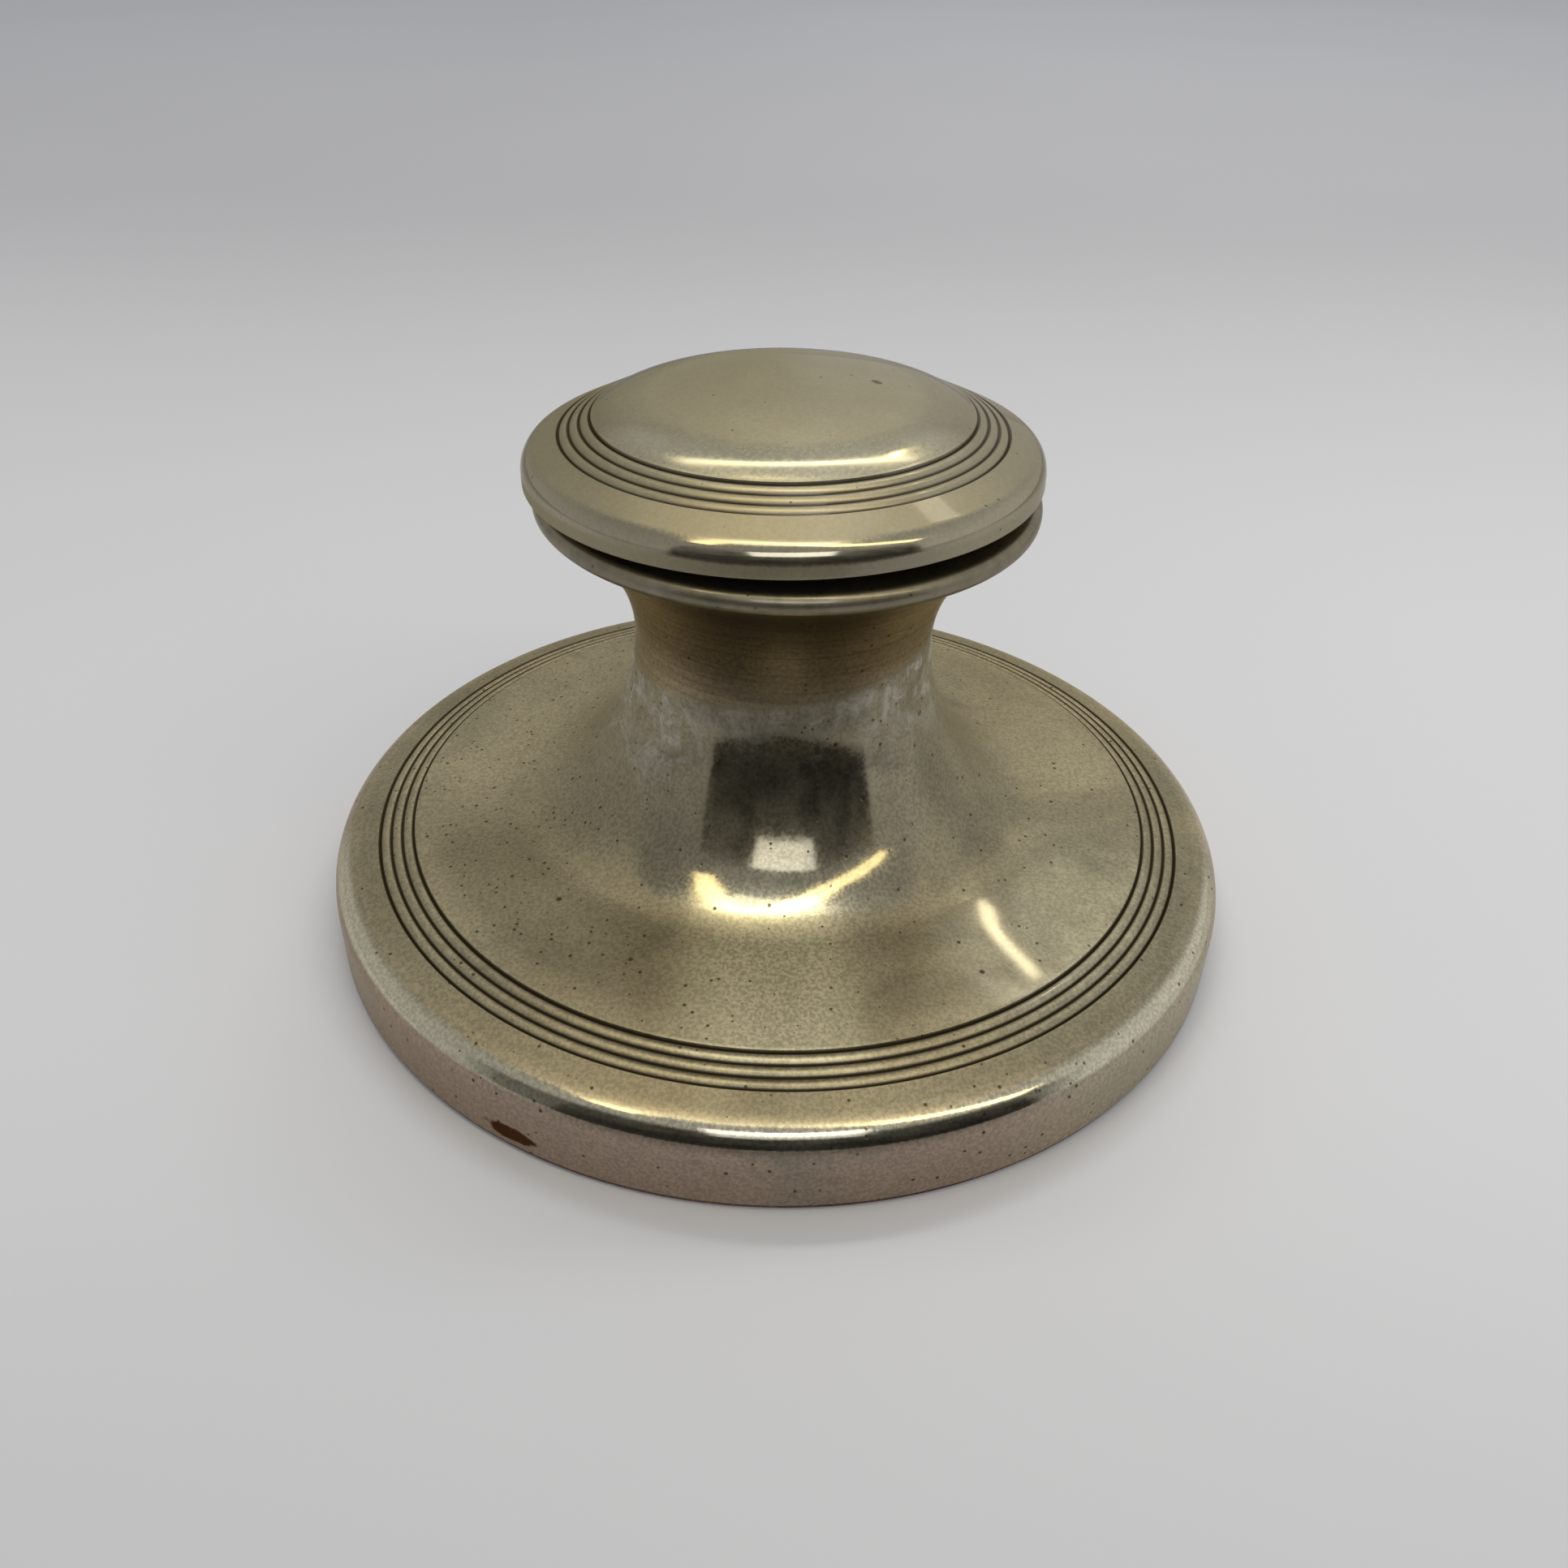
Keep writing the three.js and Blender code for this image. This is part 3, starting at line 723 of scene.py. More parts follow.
class Silver(Finish):
    """What every silver surface shares: film, tarnish and spin lines."""

    def __init__(self, name, matrix, clouds, mottle, lines):
        super().__init__(name, matrix)
        self.look = bpy.context.scene.inkwell_silver
        self.tarnished = self.tarnish(clouds, mottle)
        around = self.turned()
        self.radius, self.height = around["Radius"], around["Height"]
        self.lines = self.spin_lines(around, lines)
        film = {"Coat Weight": self.look.film, "Coat Roughness": 0.06, "Coat IOR": 1.9}
        self.give({"Metallic": 1.0, "Specular Tint": self.look.edge, **film})

    def grooves(self, radius, first, sizes):
        """Mask of a band's grooves, the first one at that radius."""
        pitch, width, reeds = sizes.reed_pitch, sizes.groove_width, float(sizes.reeds)
        band = {"First": first, "Pitch": pitch, "Reeds": reeds, "Width": width}
        return self.group("ring grooves", Radius=radius, **band)["Mask"]

    def sheen(self, gloss, dark):
        """Roughness from satin to gloss, with its mottling and rougher where it is dark."""
        look = self.look
        mottled = self.where(self.tarnished["Mottle"], 0.02, -0.02)
        return self.plus(self.where(gloss, look.gloss, look.satin), mottled, self.times(dark, 0.2))

    def filmed(self, clear):
        """Gives the clear film its full weight where the mask is, and a tenth elsewhere."""
        self.give({"Coat Weight": self.where(clear, self.look.film, self.look.film * 0.1)})

    def dented(self, knocked, share, dark):
        """Puts on what is knocked, that share of the spin lines, and what is sunk and dark."""
        relief = self.plus(knocked, self.times(self.lines, share))
        self.roughen(self.minus(relief, self.times(dark, 0.2)), self.look.dent)


def stand_silver():
    """Silver of the shell: rosy rim, glossy shoulder and flare, khaki skirt and brown neck, with
    painted light, painted shade and a painted highlight on the shoulder's front.
    """
    stand = bpy.context.scene.inkwell_stand
    turn = Matrix.Rotation(VIEW_TURN, 4, "Z")
    metal = Silver("stand silver", turn, clouds=42.0, mottle=2200.0, lines=2600.0)
    look, cloudy, mottle = metal.look, metal.tarnished["Cloud"], metal.tarnished["Mottle"]
    radius, height = metal.radius, metal.height
    sides = metal.split(metal.spot)
    aside = metal.math("ABSOLUTE", sides["X"])
    heading = metal.math("ARCTAN2", sides["Y"], sides["X"])

    rim = metal.zone(height, -0.01, 0.0107, 0.0006)
    slant = metal.minus(height, metal.times(sides["X"], 0.14))
    slant = metal.plus(slant, metal.times(mottle, 0.0006))
    neck = metal.ramp(slant, 0.038, 0.0392)
    front = metal.ramp(sides["Y"], -0.004, -0.017)
    shoulder = metal.times(metal.zone(height, 0.009, 0.0108, 0.0003), front)
    flare = metal.zone(height, 0.0165, 0.0385, 0.0015)
    polished = metal.times(flare, front, metal.ramp(aside, 0.014, 0.0195, 1.0, 0.0))
    # Painted light on the front of the skirt near the middle, which also keeps the grey smoke off
    # there.
    painted_light_front = metal.times(metal.ramp(aside, 0.003, 0.016, 1.0, 0.0), front)
    painted_light_front = metal.times(painted_light_front, metal.zone(radius, 0.027, 0.05, 0.003))
    beside = metal.times(metal.ramp(aside, 0.006, 0.016), front)
    beside = metal.times(beside, metal.zone(radius, 0.034, 0.046, 0.003))
    inner = metal.times(metal.ramp(aside, 0.005, 0.016, 1.0, 0.0), front)
    # Painted light on the front right of the skirt.
    painted_light_right = metal.zone(heading, math.radians(-56), math.radians(-14), math.radians(12))
    painted_light_right = metal.times(painted_light_right, metal.zone(radius, 0.035, 0.053, 0.005))

    # The bright colour: wear in clouds and on the polished flare, and painted light on the front
    # and the front right of the skirt.
    bright_metal = metal.most(metal.times(polished, 0.02), metal.times(metal.most(painted_light_front, painted_light_right), 0.85))
    bright_metal = metal.plus(bright_metal, metal.times(cloudy, 0.12))
    base = metal.blend(bright_metal, look.toned, look.bright_metal)
    base = metal.blend(metal.times(rim, 0.85), base, look.rosy)
    base = metal.blend(metal.times(neck, 0.8), base, look.warm)
    smoke = metal.ramp(metal.cloud(metal.spot, 34.0, 6.0, 0.62, 0.8), 0.45, 0.68, 0.0, 0.7)
    base = metal.blend(metal.times(smoke, metal.where(painted_light_front, 0.2)), base, look.smoke)
    # Painted light on the right of the rim, and a painted highlight on the front of the shoulder,
    # both in the bright colour.
    lightened = metal.times(rim, metal.ramp(sides["X"], 0.015, 0.045, 0.0, 0.4))
    base = metal.blend(metal.most(lightened, metal.times(shoulder, 0.85)), base, look.bright_metal)
    # A painted dark reflection line on the front of the rim's shoulder, under its painted
    # highlight.
    painted_dark_line = metal.times(metal.ramp(aside, 0.026, 0.038, 1.0, 0.0), front)
    painted_dark_line = metal.times(metal.zone(height, 0.0091, 0.0102, 0.0002), painted_dark_line)
    # Painted shade and light in the shade: the front of the neck and trumpet darker from the waist
    # up, the trumpet lighter towards the collar, the lower front skirt darker either side of the
    # middle, the back and the flanks lighter, a little painted shade on the polished flare and the
    # painted dark line. The mottling is tarnish, and the flat border outside the grooves is
    # darker.
    painted_shade_neck = metal.times(inner, metal.ramp(height, 0.032, 0.036))
    trumpet = metal.ramp(height, 0.042, 0.052, 1.0, 1.6)
    behind = metal.ramp(sides["Y"], -0.016, 0.006, 1.0, 1.34)
    flanks = metal.ramp(aside, 0.024, 0.05, 1.0, 1.12)
    border = metal.zone(radius, 0.0532, 0.0558, 0.0005)
    shade = metal.times(
        metal.where(mottle, 1.14, 0.8),
        metal.where(polished, 0.88),
        metal.where(painted_shade_neck, 0.55),
        trumpet,
        metal.where(beside, 0.78),
        behind,
        flanks,
        metal.where(border, 0.86),
        metal.where(painted_dark_line, 0.35),
    )
    base = metal.shaded(base, shade)
    lines = metal.times(neck, metal.ramp(metal.lines, 0.4, 0.7, 0.0, 0.35))
    base = metal.blend(lines, base, look.deep)

    left = metal.ramp(sides["X"], 0.012, -0.034)
    crowd = metal.times(left, metal.zone(radius, 0.021, 0.049, 0.003), 0.34)
    crowd = metal.plus(crowd, metal.times(rim, 0.06), 0.12)
    fine = metal.pits(scale=1100.0, share=crowd, size=0.34)
    specks = metal.most(fine, metal.pits(scale=420.0, share=0.09, size=0.2))
    grooves = metal.grooves(radius, stand.foot_radius - stand.band_setback, stand)
    dark = metal.most(metal.times(specks, 0.85), grooves)
    base = metal.blend(dark, base, look.deep)

    around = metal.ramp(aside, 0.006, 0.019, 0.25, 1.0)
    foot = metal.times(
        metal.ramp(slant, 0.022, 0.037), metal.ramp(slant, 0.0378, 0.0388, 1.0, 0.0)
    )
    run = {"X": metal.times(heading, 0.02), "Y": metal.times(height, 0.5)}
    streaks = metal.cloud(metal.add("CombineXYZ", run)[0], 420.0, 4.0, 0.6)
    smears = metal.cloud(metal.spot, 240.0, 5.0, 0.7, 1.6)
    patchy = metal.plus(
        metal.ramp(streaks, 0.42, 0.72, 0.0, 0.5), metal.ramp(smears, 0.46, 0.66)
    )
    dried = metal.times(around, foot, metal.times(patchy, 0.6))
    base = metal.blend(dried, base, look.residue)

    away = metal.vector("SUBTRACT", metal.spot, STAIN_PLACE)[0]
    away = metal.vector("LENGTH", metal.vector("MULTIPLY", away, (1.0, 1.0, 3.0))[0])["Value"]
    away = metal.plus(away, metal.times(metal.cloud(metal.spot, 620.0, 3.0), 0.0028))
    stain = metal.ramp(away, 0.0042, 0.0052, 1.0, 0.0)
    base = metal.blend(stain, base, look.rust)

    gloss = metal.most(shoulder, polished, metal.times(neck, 0.3))
    sheen = metal.plus(
        metal.sheen(gloss, dark), metal.times(dried, 0.25), metal.times(stain, 0.4)
    )
    metal.give({"Base Color": base, "Metallic": metal.where(dried, 0.3), "Roughness": sheen})
    right = metal.zone(heading, math.radians(-58), math.radians(-38), math.radians(5))
    right = metal.times(right, metal.zone(radius, 0.035, 0.05, 0.0008))
    # The film is left off the pits, grooves, residue and stain, and off the painted dark line.
    dirt_and_painted_dark = metal.most(dark, dried, stain, painted_dark_line)
    metal.filmed(metal.times(metal.most(shoulder, right, rim), metal.minus(1.0, dirt_and_painted_dark)))
    knocks = metal.times(metal.cloud(metal.spot, 230.0, 2.0), polished, 0.45)
    metal.dented(metal.plus(metal.tarnished["Dents"], knocks), 0.02, dark)
    return metal.material


def lid_silver():
    """Silver of the lid: bright satin crown, shoulder kept bright by handling, a painted highlight
    on the cushion's front, dark grooves and two dark specks.
    """
    _, collar, lid, _, _ = scene_sizes()
    middle = lid_place() @ lid_centre()
    metal = Silver("lid silver", middle, clouds=46.0, mottle=2200.0, lines=2600.0)
    look, cloudy, mottle = metal.look, metal.tarnished["Cloud"], metal.tarnished["Mottle"]
    radius, height = metal.radius, metal.height
    sides = metal.split(metal.spot)
    crown = metal.ramp(radius, 0.0235, 0.0175)
    shoulder = metal.zone(height, 0.0016, 0.0036, 0.0006)
    cushion = metal.zone(radius, 0.0168, 0.0222, 0.003)
    ahead = metal.ramp(metal.plus(sides["X"], sides["Y"]), -0.006, -0.02)
    # A painted highlight along the front of the cushion, in the bright colour.
    painted_highlight = metal.times(cushion, ahead, 0.8)
    bright_metal = metal.most(metal.times(crown, 0.42), 0.13, painted_highlight, metal.times(shoulder, 0.2))
    bright_metal = metal.plus(bright_metal, metal.times(cloudy, 0.12))
    base = metal.blend(bright_metal, look.toned, look.bright_metal)
    base = metal.shaded(base, metal.where(mottle, 1.04, 0.93))
    grooves = metal.grooves(radius, collar.radius + lid.overhang - lid.band_setback, lid)
    pits = metal.pits(scale=900.0, share=0.07, size=0.24)
    dark = metal.most(metal.times(pits, 0.6), grooves)
    wobble = metal.times(metal.cloud(metal.spot, 1500.0, 2.0), 0.0008)
    for centre, size in LID_SPECKS:
        away = metal.plus(metal.vector("DISTANCE", metal.spot, centre)["Value"], wobble)
        dark = metal.most(dark, metal.ramp(away, size * 0.7, size, 0.8, 0.0))
    base = metal.blend(dark, base, look.deep)
    gloss = metal.most(shoulder, metal.times(cushion, 0.8))
    metal.give({"Base Color": base, "Roughness": metal.sheen(gloss, dark)})
    rightwards = metal.minus(sides["X"], sides["Y"])
    metal.filmed(metal.most(shoulder, metal.ramp(rightwards, -0.008, 0.012)))
    metal.dented(metal.tarnished["Dents"], 0.015, dark)
    return metal.material


def plain_silver(name, matrix, brightness, tone=1.0):
    """Silver of the small and inner parts, with clouds, pits and spin lines alone."""
    metal = Silver(name, matrix, clouds=90.0, mottle=500.0, lines=3200.0)
    look, tarnished = metal.look, metal.tarnished
    bright_metal = metal.times(tarnished["Cloud"], brightness)
    shade = metal.where(tarnished["Mottle"], 1.04 * tone, 0.84 * tone)
    base = metal.shaded(metal.blend(bright_metal, look.toned, look.bright_metal), shade)
    pits = metal.times(metal.pits(scale=900.0, share=0.08, size=0.26), 0.7)
    sheen = metal.where(bright_metal, look.satin - 0.15, look.satin - 0.04)
    metal.give({"Base Color": metal.blend(pits, base, look.deep), "Roughness": sheen})
    relief = metal.plus(tarnished["Dents"], metal.times(metal.lines, 0.12))
    metal.roughen(relief, look.dent * 0.6)
    return metal.material


def pot_glass():
    """Clear moulded glass, faintly uneven."""
    glass = Finish("pot glass")
    smear = glass.ramp(glass.cloud(glass.spot, 90.0), 0.45, 0.7, 0.015, 0.09)
    glass.give({
        "Base Color": bpy.context.scene.inkwell_other.glass,
        "Transmission Weight": 1.0,
        "IOR": 1.52,
        "Roughness": smear,
    })
    glass.roughen(glass.cloud(glass.spot, 160.0, 2.0), 0.00006)
    return glass.material


def sleeve_brass():
    """Thin brass tube, brown where air and ink have reached it."""
    look = bpy.context.scene.inkwell_other
    brass = Finish("sleeve brass")
    tarnished = brass.tarnish(clouds=120.0, mottle=700.0)
    base = brass.blend(tarnished["Cloud"], look.brass, look.brass_dull)
    sheen = brass.where(tarnished["Mottle"], 0.5, 0.28)
    brass.give({"Metallic": 1.0, "Base Color": base, "Roughness": sheen})
    brass.roughen(brass.spin_lines(brass.turned(), scale=3000.0), 0.00001)
    return brass.material


def cover_leather():
    """Dark brown leather with a fine pebbled grain, rubbed where it stands on."""
    look = bpy.context.scene.inkwell_other
    stand, _, _, _, base_sizes = scene_sizes()
    hide = Finish("cover leather")
    tarnished = hide.tarnish(clouds=60.0, mottle=900.0)
    cells = {"Vector": hide.spot, "Scale": 1300.0}
    grain = hide.add("TexVoronoi", cells, feature="DISTANCE_TO_EDGE")["Distance"]
    pebble = hide.ramp(grain, 0.02, 0.22)
    edge = stand.foot_radius - base_sizes.cover_inset
    lightened = hide.ramp(hide.turned()["Radius"], edge - 0.011, edge - 0.002)
    lightened = hide.times(lightened, tarnished["Cloud"])
    base = hide.blend(lightened, look.leather, look.leather_worn)
    base = hide.shaded(base, hide.where(pebble, 1.0, 0.6))
    hide.give({"Base Color": base, "Roughness": hide.where(lightened, 0.46, 0.62)})
    hide.roughen(hide.plus(pebble, hide.times(tarnished["Mottle"], 0.4)), 0.00008)
    return hide.material


def board_wood():
    """Plain turned board with growth rings and fine pores."""
    look = bpy.context.scene.inkwell_other
    heart = Matrix.Translation((0.09, 0.03, -0.06)) @ Matrix.Rotation(0.18, 4, "X")
    wood = Finish("board wood", heart)
    long = wood.add("Mapping", {"Vector": wood.spot, "Scale": (1, 0.06, 1)})[0]
    grain = {"Scale": 120.0, "Distortion": 3.0, "Detail": 3.0, "Detail Scale": 1.2}
    ways = {"wave_type": "RINGS", "rings_direction": "Y"}
    rings = wood.add("TexWave", {"Vector": long, **grain}, **ways)[1]
    pores = wood.ramp(wood.cloud(long, 2200.0, 3.0), 0.55, 0.75)
    base = wood.blend(rings, look.wood, look.wood_dark)
    base = wood.blend(wood.times(pores, 0.5), base, look.wood_dark)
    wood.give({"Base Color": base, "Roughness": wood.where(pores, 0.75, 0.55)})
    wood.roughen(wood.minus(rings, pores), 0.00005)
    return wood.material


def filling_plaster():
    """Chalky cast plaster."""
    cast = Finish("filling plaster")
    tarnished = cast.tarnish(clouds=80.0, mottle=600.0)
    shade = cast.where(tarnished["Cloud"], 1.0, 0.8)
    base = cast.shaded(bpy.context.scene.inkwell_other.plaster, shade)
    cast.give({"Base Color": base, "Roughness": cast.where(tarnished["Mottle"], 0.95, 0.8)})
    pits = cast.pits(scale=500.0, share=0.3, size=0.3)
    cast.roughen(cast.minus(tarnished["Mottle"], pits), 0.0001)
    return cast.material


class INKWELL_OT_finishes(Operator):
    """Build the node groups that the materials share."""

    bl_idname = "inkwell.finishes"
    bl_label = "Finishes"

    def execute(self, context):
        build_turned()
        build_zone()
        build_grooves()
        build_tarnish()
        build_pits()
        build_spin_lines()
        return {"FINISHED"}


class INKWELL_OT_shell(Operator):
    """Spin the foot, skirt, neck and trumpet in one sheet."""

    bl_idname = "inkwell.shell"
    bl_label = "Shell"

    def execute(self, context):
        stand, collar, _, _, _ = scene_sizes()
        radius, low = stand.foot_radius, stand.foot_height
        pen, shoulder, skirt = begin_rim(stand, radius, low, stand.foot_edge, steps=20)
        waist = Vector((stand.waist_radius, stand.waist_share * stand.seat_height))

        fall = math.tan(stand.skirt_slope)
        height = waist.y - skirt.y - (skirt.x - waist.x) * fall
        rise = height / (1 - stand.flare_share * fall)
        start = Vector((waist.x + stand.flare_share * rise, waist.y - rise))
        sweep_radius = stand.sweep_share * stand.flare_share * rise
        sweep = on_arc(start, sweep_radius, stand.skirt_slope)
        across, up = sweep.x - waist.x, waist.y - sweep.y
        flare_radius = (across**2 + up**2 - sweep_radius**2) / (2 * (across - sweep_radius))
        flare = Vector((waist.x + flare_radius, waist.y))
        turn = math.atan2(flare.x - sweep.x, flare.y - sweep.y)
        across = collar.radius - stand.collar_overhang - waist.x
        up = stand.seat_height - waist.y
        trumpet_radius = (across**2 + up**2) / (2 * across)
        trumpet = Vector((waist.x + trumpet_radius, waist.y))

        pen.flat(*start)
        pen.arc(sweep, turn - stand.skirt_slope, steps=18)
        pen.arc(flare, RIGHT_ANGLE - turn, steps=30)
        pen.arc(trumpet, math.asin(up / trumpet_radius), steps=26)
        inner = trumpet_radius + stand.gauge
        lift = math.asin(up / inner)
        pen.line(*on_arc(trumpet, -inner, RIGHT_ANGLE + lift))
        pen.arc(trumpet, -lift, steps=8)
        pen.arc(flare, turn - RIGHT_ANGLE, steps=8)
        pen.arc(sweep, stand.skirt_slope - turn, steps=6)
        bm = end_rim(pen, stand, shoulder, radius, low)
        finish_piece("silver_shell", bm, stand_silver(), "stand", "body_shell")
        return {"FINISHED"}


class INKWELL_OT_collar(Operator):
    """Turn the collar, with the pot's seat and the hinge's notch."""

    bl_idname = "inkwell.collar"
    bl_label = "Collar"

    def execute(self, context):
        stand, collar, _, hinge, _ = scene_sizes()
        at = levels()
        edge, corner, top = collar.edge, collar.corner, at["collar_top"]
        seat = at["flange_radius"] + collar.seat_clearance
        pen = Pen(collar.hole_radius, stand.seat_height)
        pen.line(collar.radius - edge, stand.seat_height)
        pen.arc((collar.radius - edge, stand.seat_height + edge), -RIGHT_ANGLE, steps=10)
        pen.line(collar.radius, top - edge)
        pen.arc((collar.radius - edge, top - edge), -RIGHT_ANGLE, steps=10)
        pen.line(seat + corner, top)
        pen.arc((seat + corner, top - corner), -RIGHT_ANGLE, steps=3)
        pen.line(seat, at["pot_seat"])
        pen.line(collar.hole_radius + corner, at["pot_seat"])
        pen.arc((collar.hole_radius + corner, at["pot_seat"] - corner), -RIGHT_ANGLE, steps=3)
        pen.close()
        bm = pen.spun(stand.sides)
        floor = at["hinge_height"] - at["reach"] - hinge.notch_floor
        bm = cut_box(bm, *notch_box(floor, top + hinge.notch_overrun))
        finish = plain_silver("collar silver", Matrix.Identity(4), brightness=0.15, tone=0.75)
        finish_piece("silver_collar", bm, finish, "stand", "collar")
        return {"FINISHED"}


class INKWELL_OT_well(Operator):
    """Draw the brass sleeve under the collar and blow the glass pot in it."""

    bl_idname = "inkwell.well"
    bl_label = "Sleeve and pot"

    def execute(self, context):
        stand, collar, _, _, _ = scene_sizes()
        at = levels()
        inside = at["sleeve_inside"]
        bottom = inside - collar.sleeve_floor
        outer = collar.hole_radius + collar.sleeve_wall
        pen = Pen(0, bottom)
        pen.line(outer, bottom)
        pen.line(outer, stand.seat_height)
        pen.line(collar.hole_radius, stand.seat_height)
        pen.line(collar.hole_radius, inside)
        pen.line(0, inside)
        bm = pen.spun(sides=96)
        finish_piece("brass_sleeve", bm, sleeve_brass(), "stand", "well_sleeve")

        radius = collar.hole_radius - collar.pot_clearance
        bore = radius - collar.pot_wall
        flange, edge, foot = at["flange_radius"], collar.flange_edge, collar.pot_foot
        top = at["pot_seat"] + collar.flange_thickness
        bottom = at["pot_bottom"]
        floor = bottom + collar.pot_floor
        pen = Pen(0, bottom)
        pen.line(radius - foot, bottom)
        pen.arc((radius - foot, bottom + foot), -RIGHT_ANGLE, steps=10)
        pen.line(radius, at["pot_seat"])
        pen.line(flange, at["pot_seat"])
        pen.line(flange, top - edge)
        pen.arc((flange - edge, top - edge), -RIGHT_ANGLE, steps=6)
        pen.line(bore + edge, top)
        pen.arc((bore + edge, top - edge), -RIGHT_ANGLE, steps=6)
        pen.line(bore, floor + foot)
        pen.arc((bore - foot, floor + foot), RIGHT_ANGLE, steps=10)
        pen.line(0, floor)
        bm = pen.spun(sides=128)
        finish_piece("glass_pot", bm, pot_glass(), "stand", "ink_pot", sharp=40)
        return {"FINISHED"}


class INKWELL_OT_lid(Operator):
    """Spin the domed lid, fit its plate and cut both for the hinge."""

    bl_idname = "inkwell.lid"
    bl_label = "Lid"

    def execute(self, context):
        _, collar, lid, hinge, _ = scene_sizes()
        at = levels()
        radius = collar.radius + lid.overhang
        pen, shoulder, edge = begin_rim(lid, radius, 0, lid.rim_edge, steps=16)
        crown = Vector((0, lid.apex_height - lid.crown_radius))
        away = crown - edge
        reach = lid.crown_radius - lid.cushion_radius
        along = (lid.cushion_radius**2 - reach**2 + away.length**2) / (2 * away.length)
        aside = math.sqrt(lid.cushion_radius**2 - along**2)
        unit = away.normalized()
        cushion = edge + unit * along + Vector((unit.y, -unit.x)) * aside
        edge_slope = math.atan2(edge.x - cushion.x, edge.y - cushion.y)
        crown_slope = math.atan2(cushion.x, cushion.y - crown.y)

        pen.arc(cushion, crown_slope - edge_slope, steps=16)
        pen.arc(crown, -crown_slope, steps=22)
        pen.move(0, lid.apex_height - lid.gauge)
        pen.arc(crown, crown_slope, steps=8)
        pen.arc(cushion, edge_slope - crown_slope, steps=6)
        dome = end_rim(pen, lid, shoulder, radius, 0)

        disc = radius - lid.gauge - lid.plate_clearance
        low, high = lid.plate_recess, lid.plate_recess + lid.plate_thickness
        plate = spun_disc(disc, low, high, lid.rim_edge)

        plate_finish = plain_silver("plate silver", lid_place() @ lid_centre(), brightness=0.5)
        pieces = (
            ("silver_dome", dome, lid_silver(), "lid_dome"),
            ("silver_plate", plate, plate_finish, "lid_plate"),
        )
        low, high = notch_box(-hinge.notch_overrun, at["reach"] + hinge.notch_floor)
        shift = Vector((0, collar.radius, 0))
        for name, bm, finish, node in pieces:
            bmesh.ops.transform(bm, matrix=lid_centre(), verts=bm.verts)
            bm = cut_box(bm, Vector(low) - shift, Vector(high) - shift)
            bmesh.ops.transform(bm, matrix=lid_place(), verts=bm.verts)
            finish_piece(name, bm, finish, "lid", node)
        return {"FINISHED"}


class INKWELL_OT_hinge(Operator):
    """Make the two bearers, the five knuckles and the pin."""

    bl_idname = "inkwell.hinge"
    bl_label = "Hinge"

    def execute(self, context):
        _, _, lid, hinge, _ = scene_sizes()
        at = levels()
        finish = plain_silver("hinge silver", hinge_place(), brightness=1.0)
        lying = Matrix.Rotation(RIGHT_ANGLE, 4, "Y")

        groove, reach, split = at["groove"], at["reach"], hinge.bearer_split
        back_angle = (hinge.opening + lid.ajar + hinge.stop_slack) / 2
        front_angle = math.pi - math.asin(split / groove)
        for side, body, node, matrix in (
            (-1, "stand", "collar_bearer", hinge_place()),
            (1, "lid", "lid_bearer", lid_place()),
        ):
            pen = Pen(-reach, side * split)
            pen.line(groove * math.cos(front_angle), side * split)
            pen.arc((0, 0), side * (front_angle - back_angle), steps=16)
            pen.line(groove * math.cos(back_angle), side * reach)
            pen.line(-reach, side * reach)
            pen.close()
            bm = pen.bm
            bmesh.ops.contextual_create(bm, geom=bm.edges[:])
            made = bmesh.ops.extrude_face_region(bm, geom=bm.faces[:])
            moved = [v for v in made["geom"] if isinstance(v, bmesh.types.BMVert)]
            bmesh.ops.translate(bm, vec=(0, at["hinge_width"], 0), verts=moved)
            bmesh.ops.translate(bm, vec=(0, -at["hinge_width"] / 2, 0), verts=bm.verts)
            bmesh.ops.recalc_face_normals(bm, faces=bm.faces)
            edges = [e for e in bm.edges if e.calc_face_angle(0) > math.radians(40)]
            bmesh.ops.bevel(
                bm,
                geom=edges,
                offset=hinge.bearer_edge,
                segments=2,
                profile=0.5,
                affect="EDGES",
                material=-1,
                clamp_overlap=True,
            )
            across = matrix @ Matrix.Rotation(RIGHT_ANGLE, 4, "Z")
            bmesh.ops.transform(bm, matrix=across, verts=bm.verts)
            finish_piece("silver_" + node, bm, finish, body, node)

        names = ("collar_knuckle_left", "lid_knuckle_left", "collar_knuckle_middle")
        names += ("lid_knuckle_right", "collar_knuckle_right")
        bore = hinge.pin_radius + hinge.pin_clearance
        half, edge, radius = hinge.knuckle_length / 2, hinge.knuckle_edge, hinge.knuckle_radius
        for number, node in enumerate(names):
            body = "lid" if node.startswith("lid") else "stand"
            matrix = lid_place() if body == "lid" else hinge_place()
            bm = spun_rod(bore, radius, half, edge, steps=4, sides=48)
            step = hinge.knuckle_length + hinge.knuckle_gap
            shift = Matrix.Translation(((number - (len(names) - 1) / 2) * step, 0, 0))
            bmesh.ops.transform(bm, matrix=matrix @ shift @ lying, verts=bm.verts)
            finish_piece("silver_" + node, bm, finish, body, node)

        half, dome = at["hinge_width"] / 2, hinge.pin_radius * 0.4
        bm = spun_rod(0, hinge.pin_radius, half, dome, steps=5, sides=36)
        bmesh.ops.transform(bm, matrix=hinge_place() @ lying, verts=bm.verts)
        finish_piece("silver_pin", bm, finish, "stand", "hinge_pin")
        return {"FINISHED"}


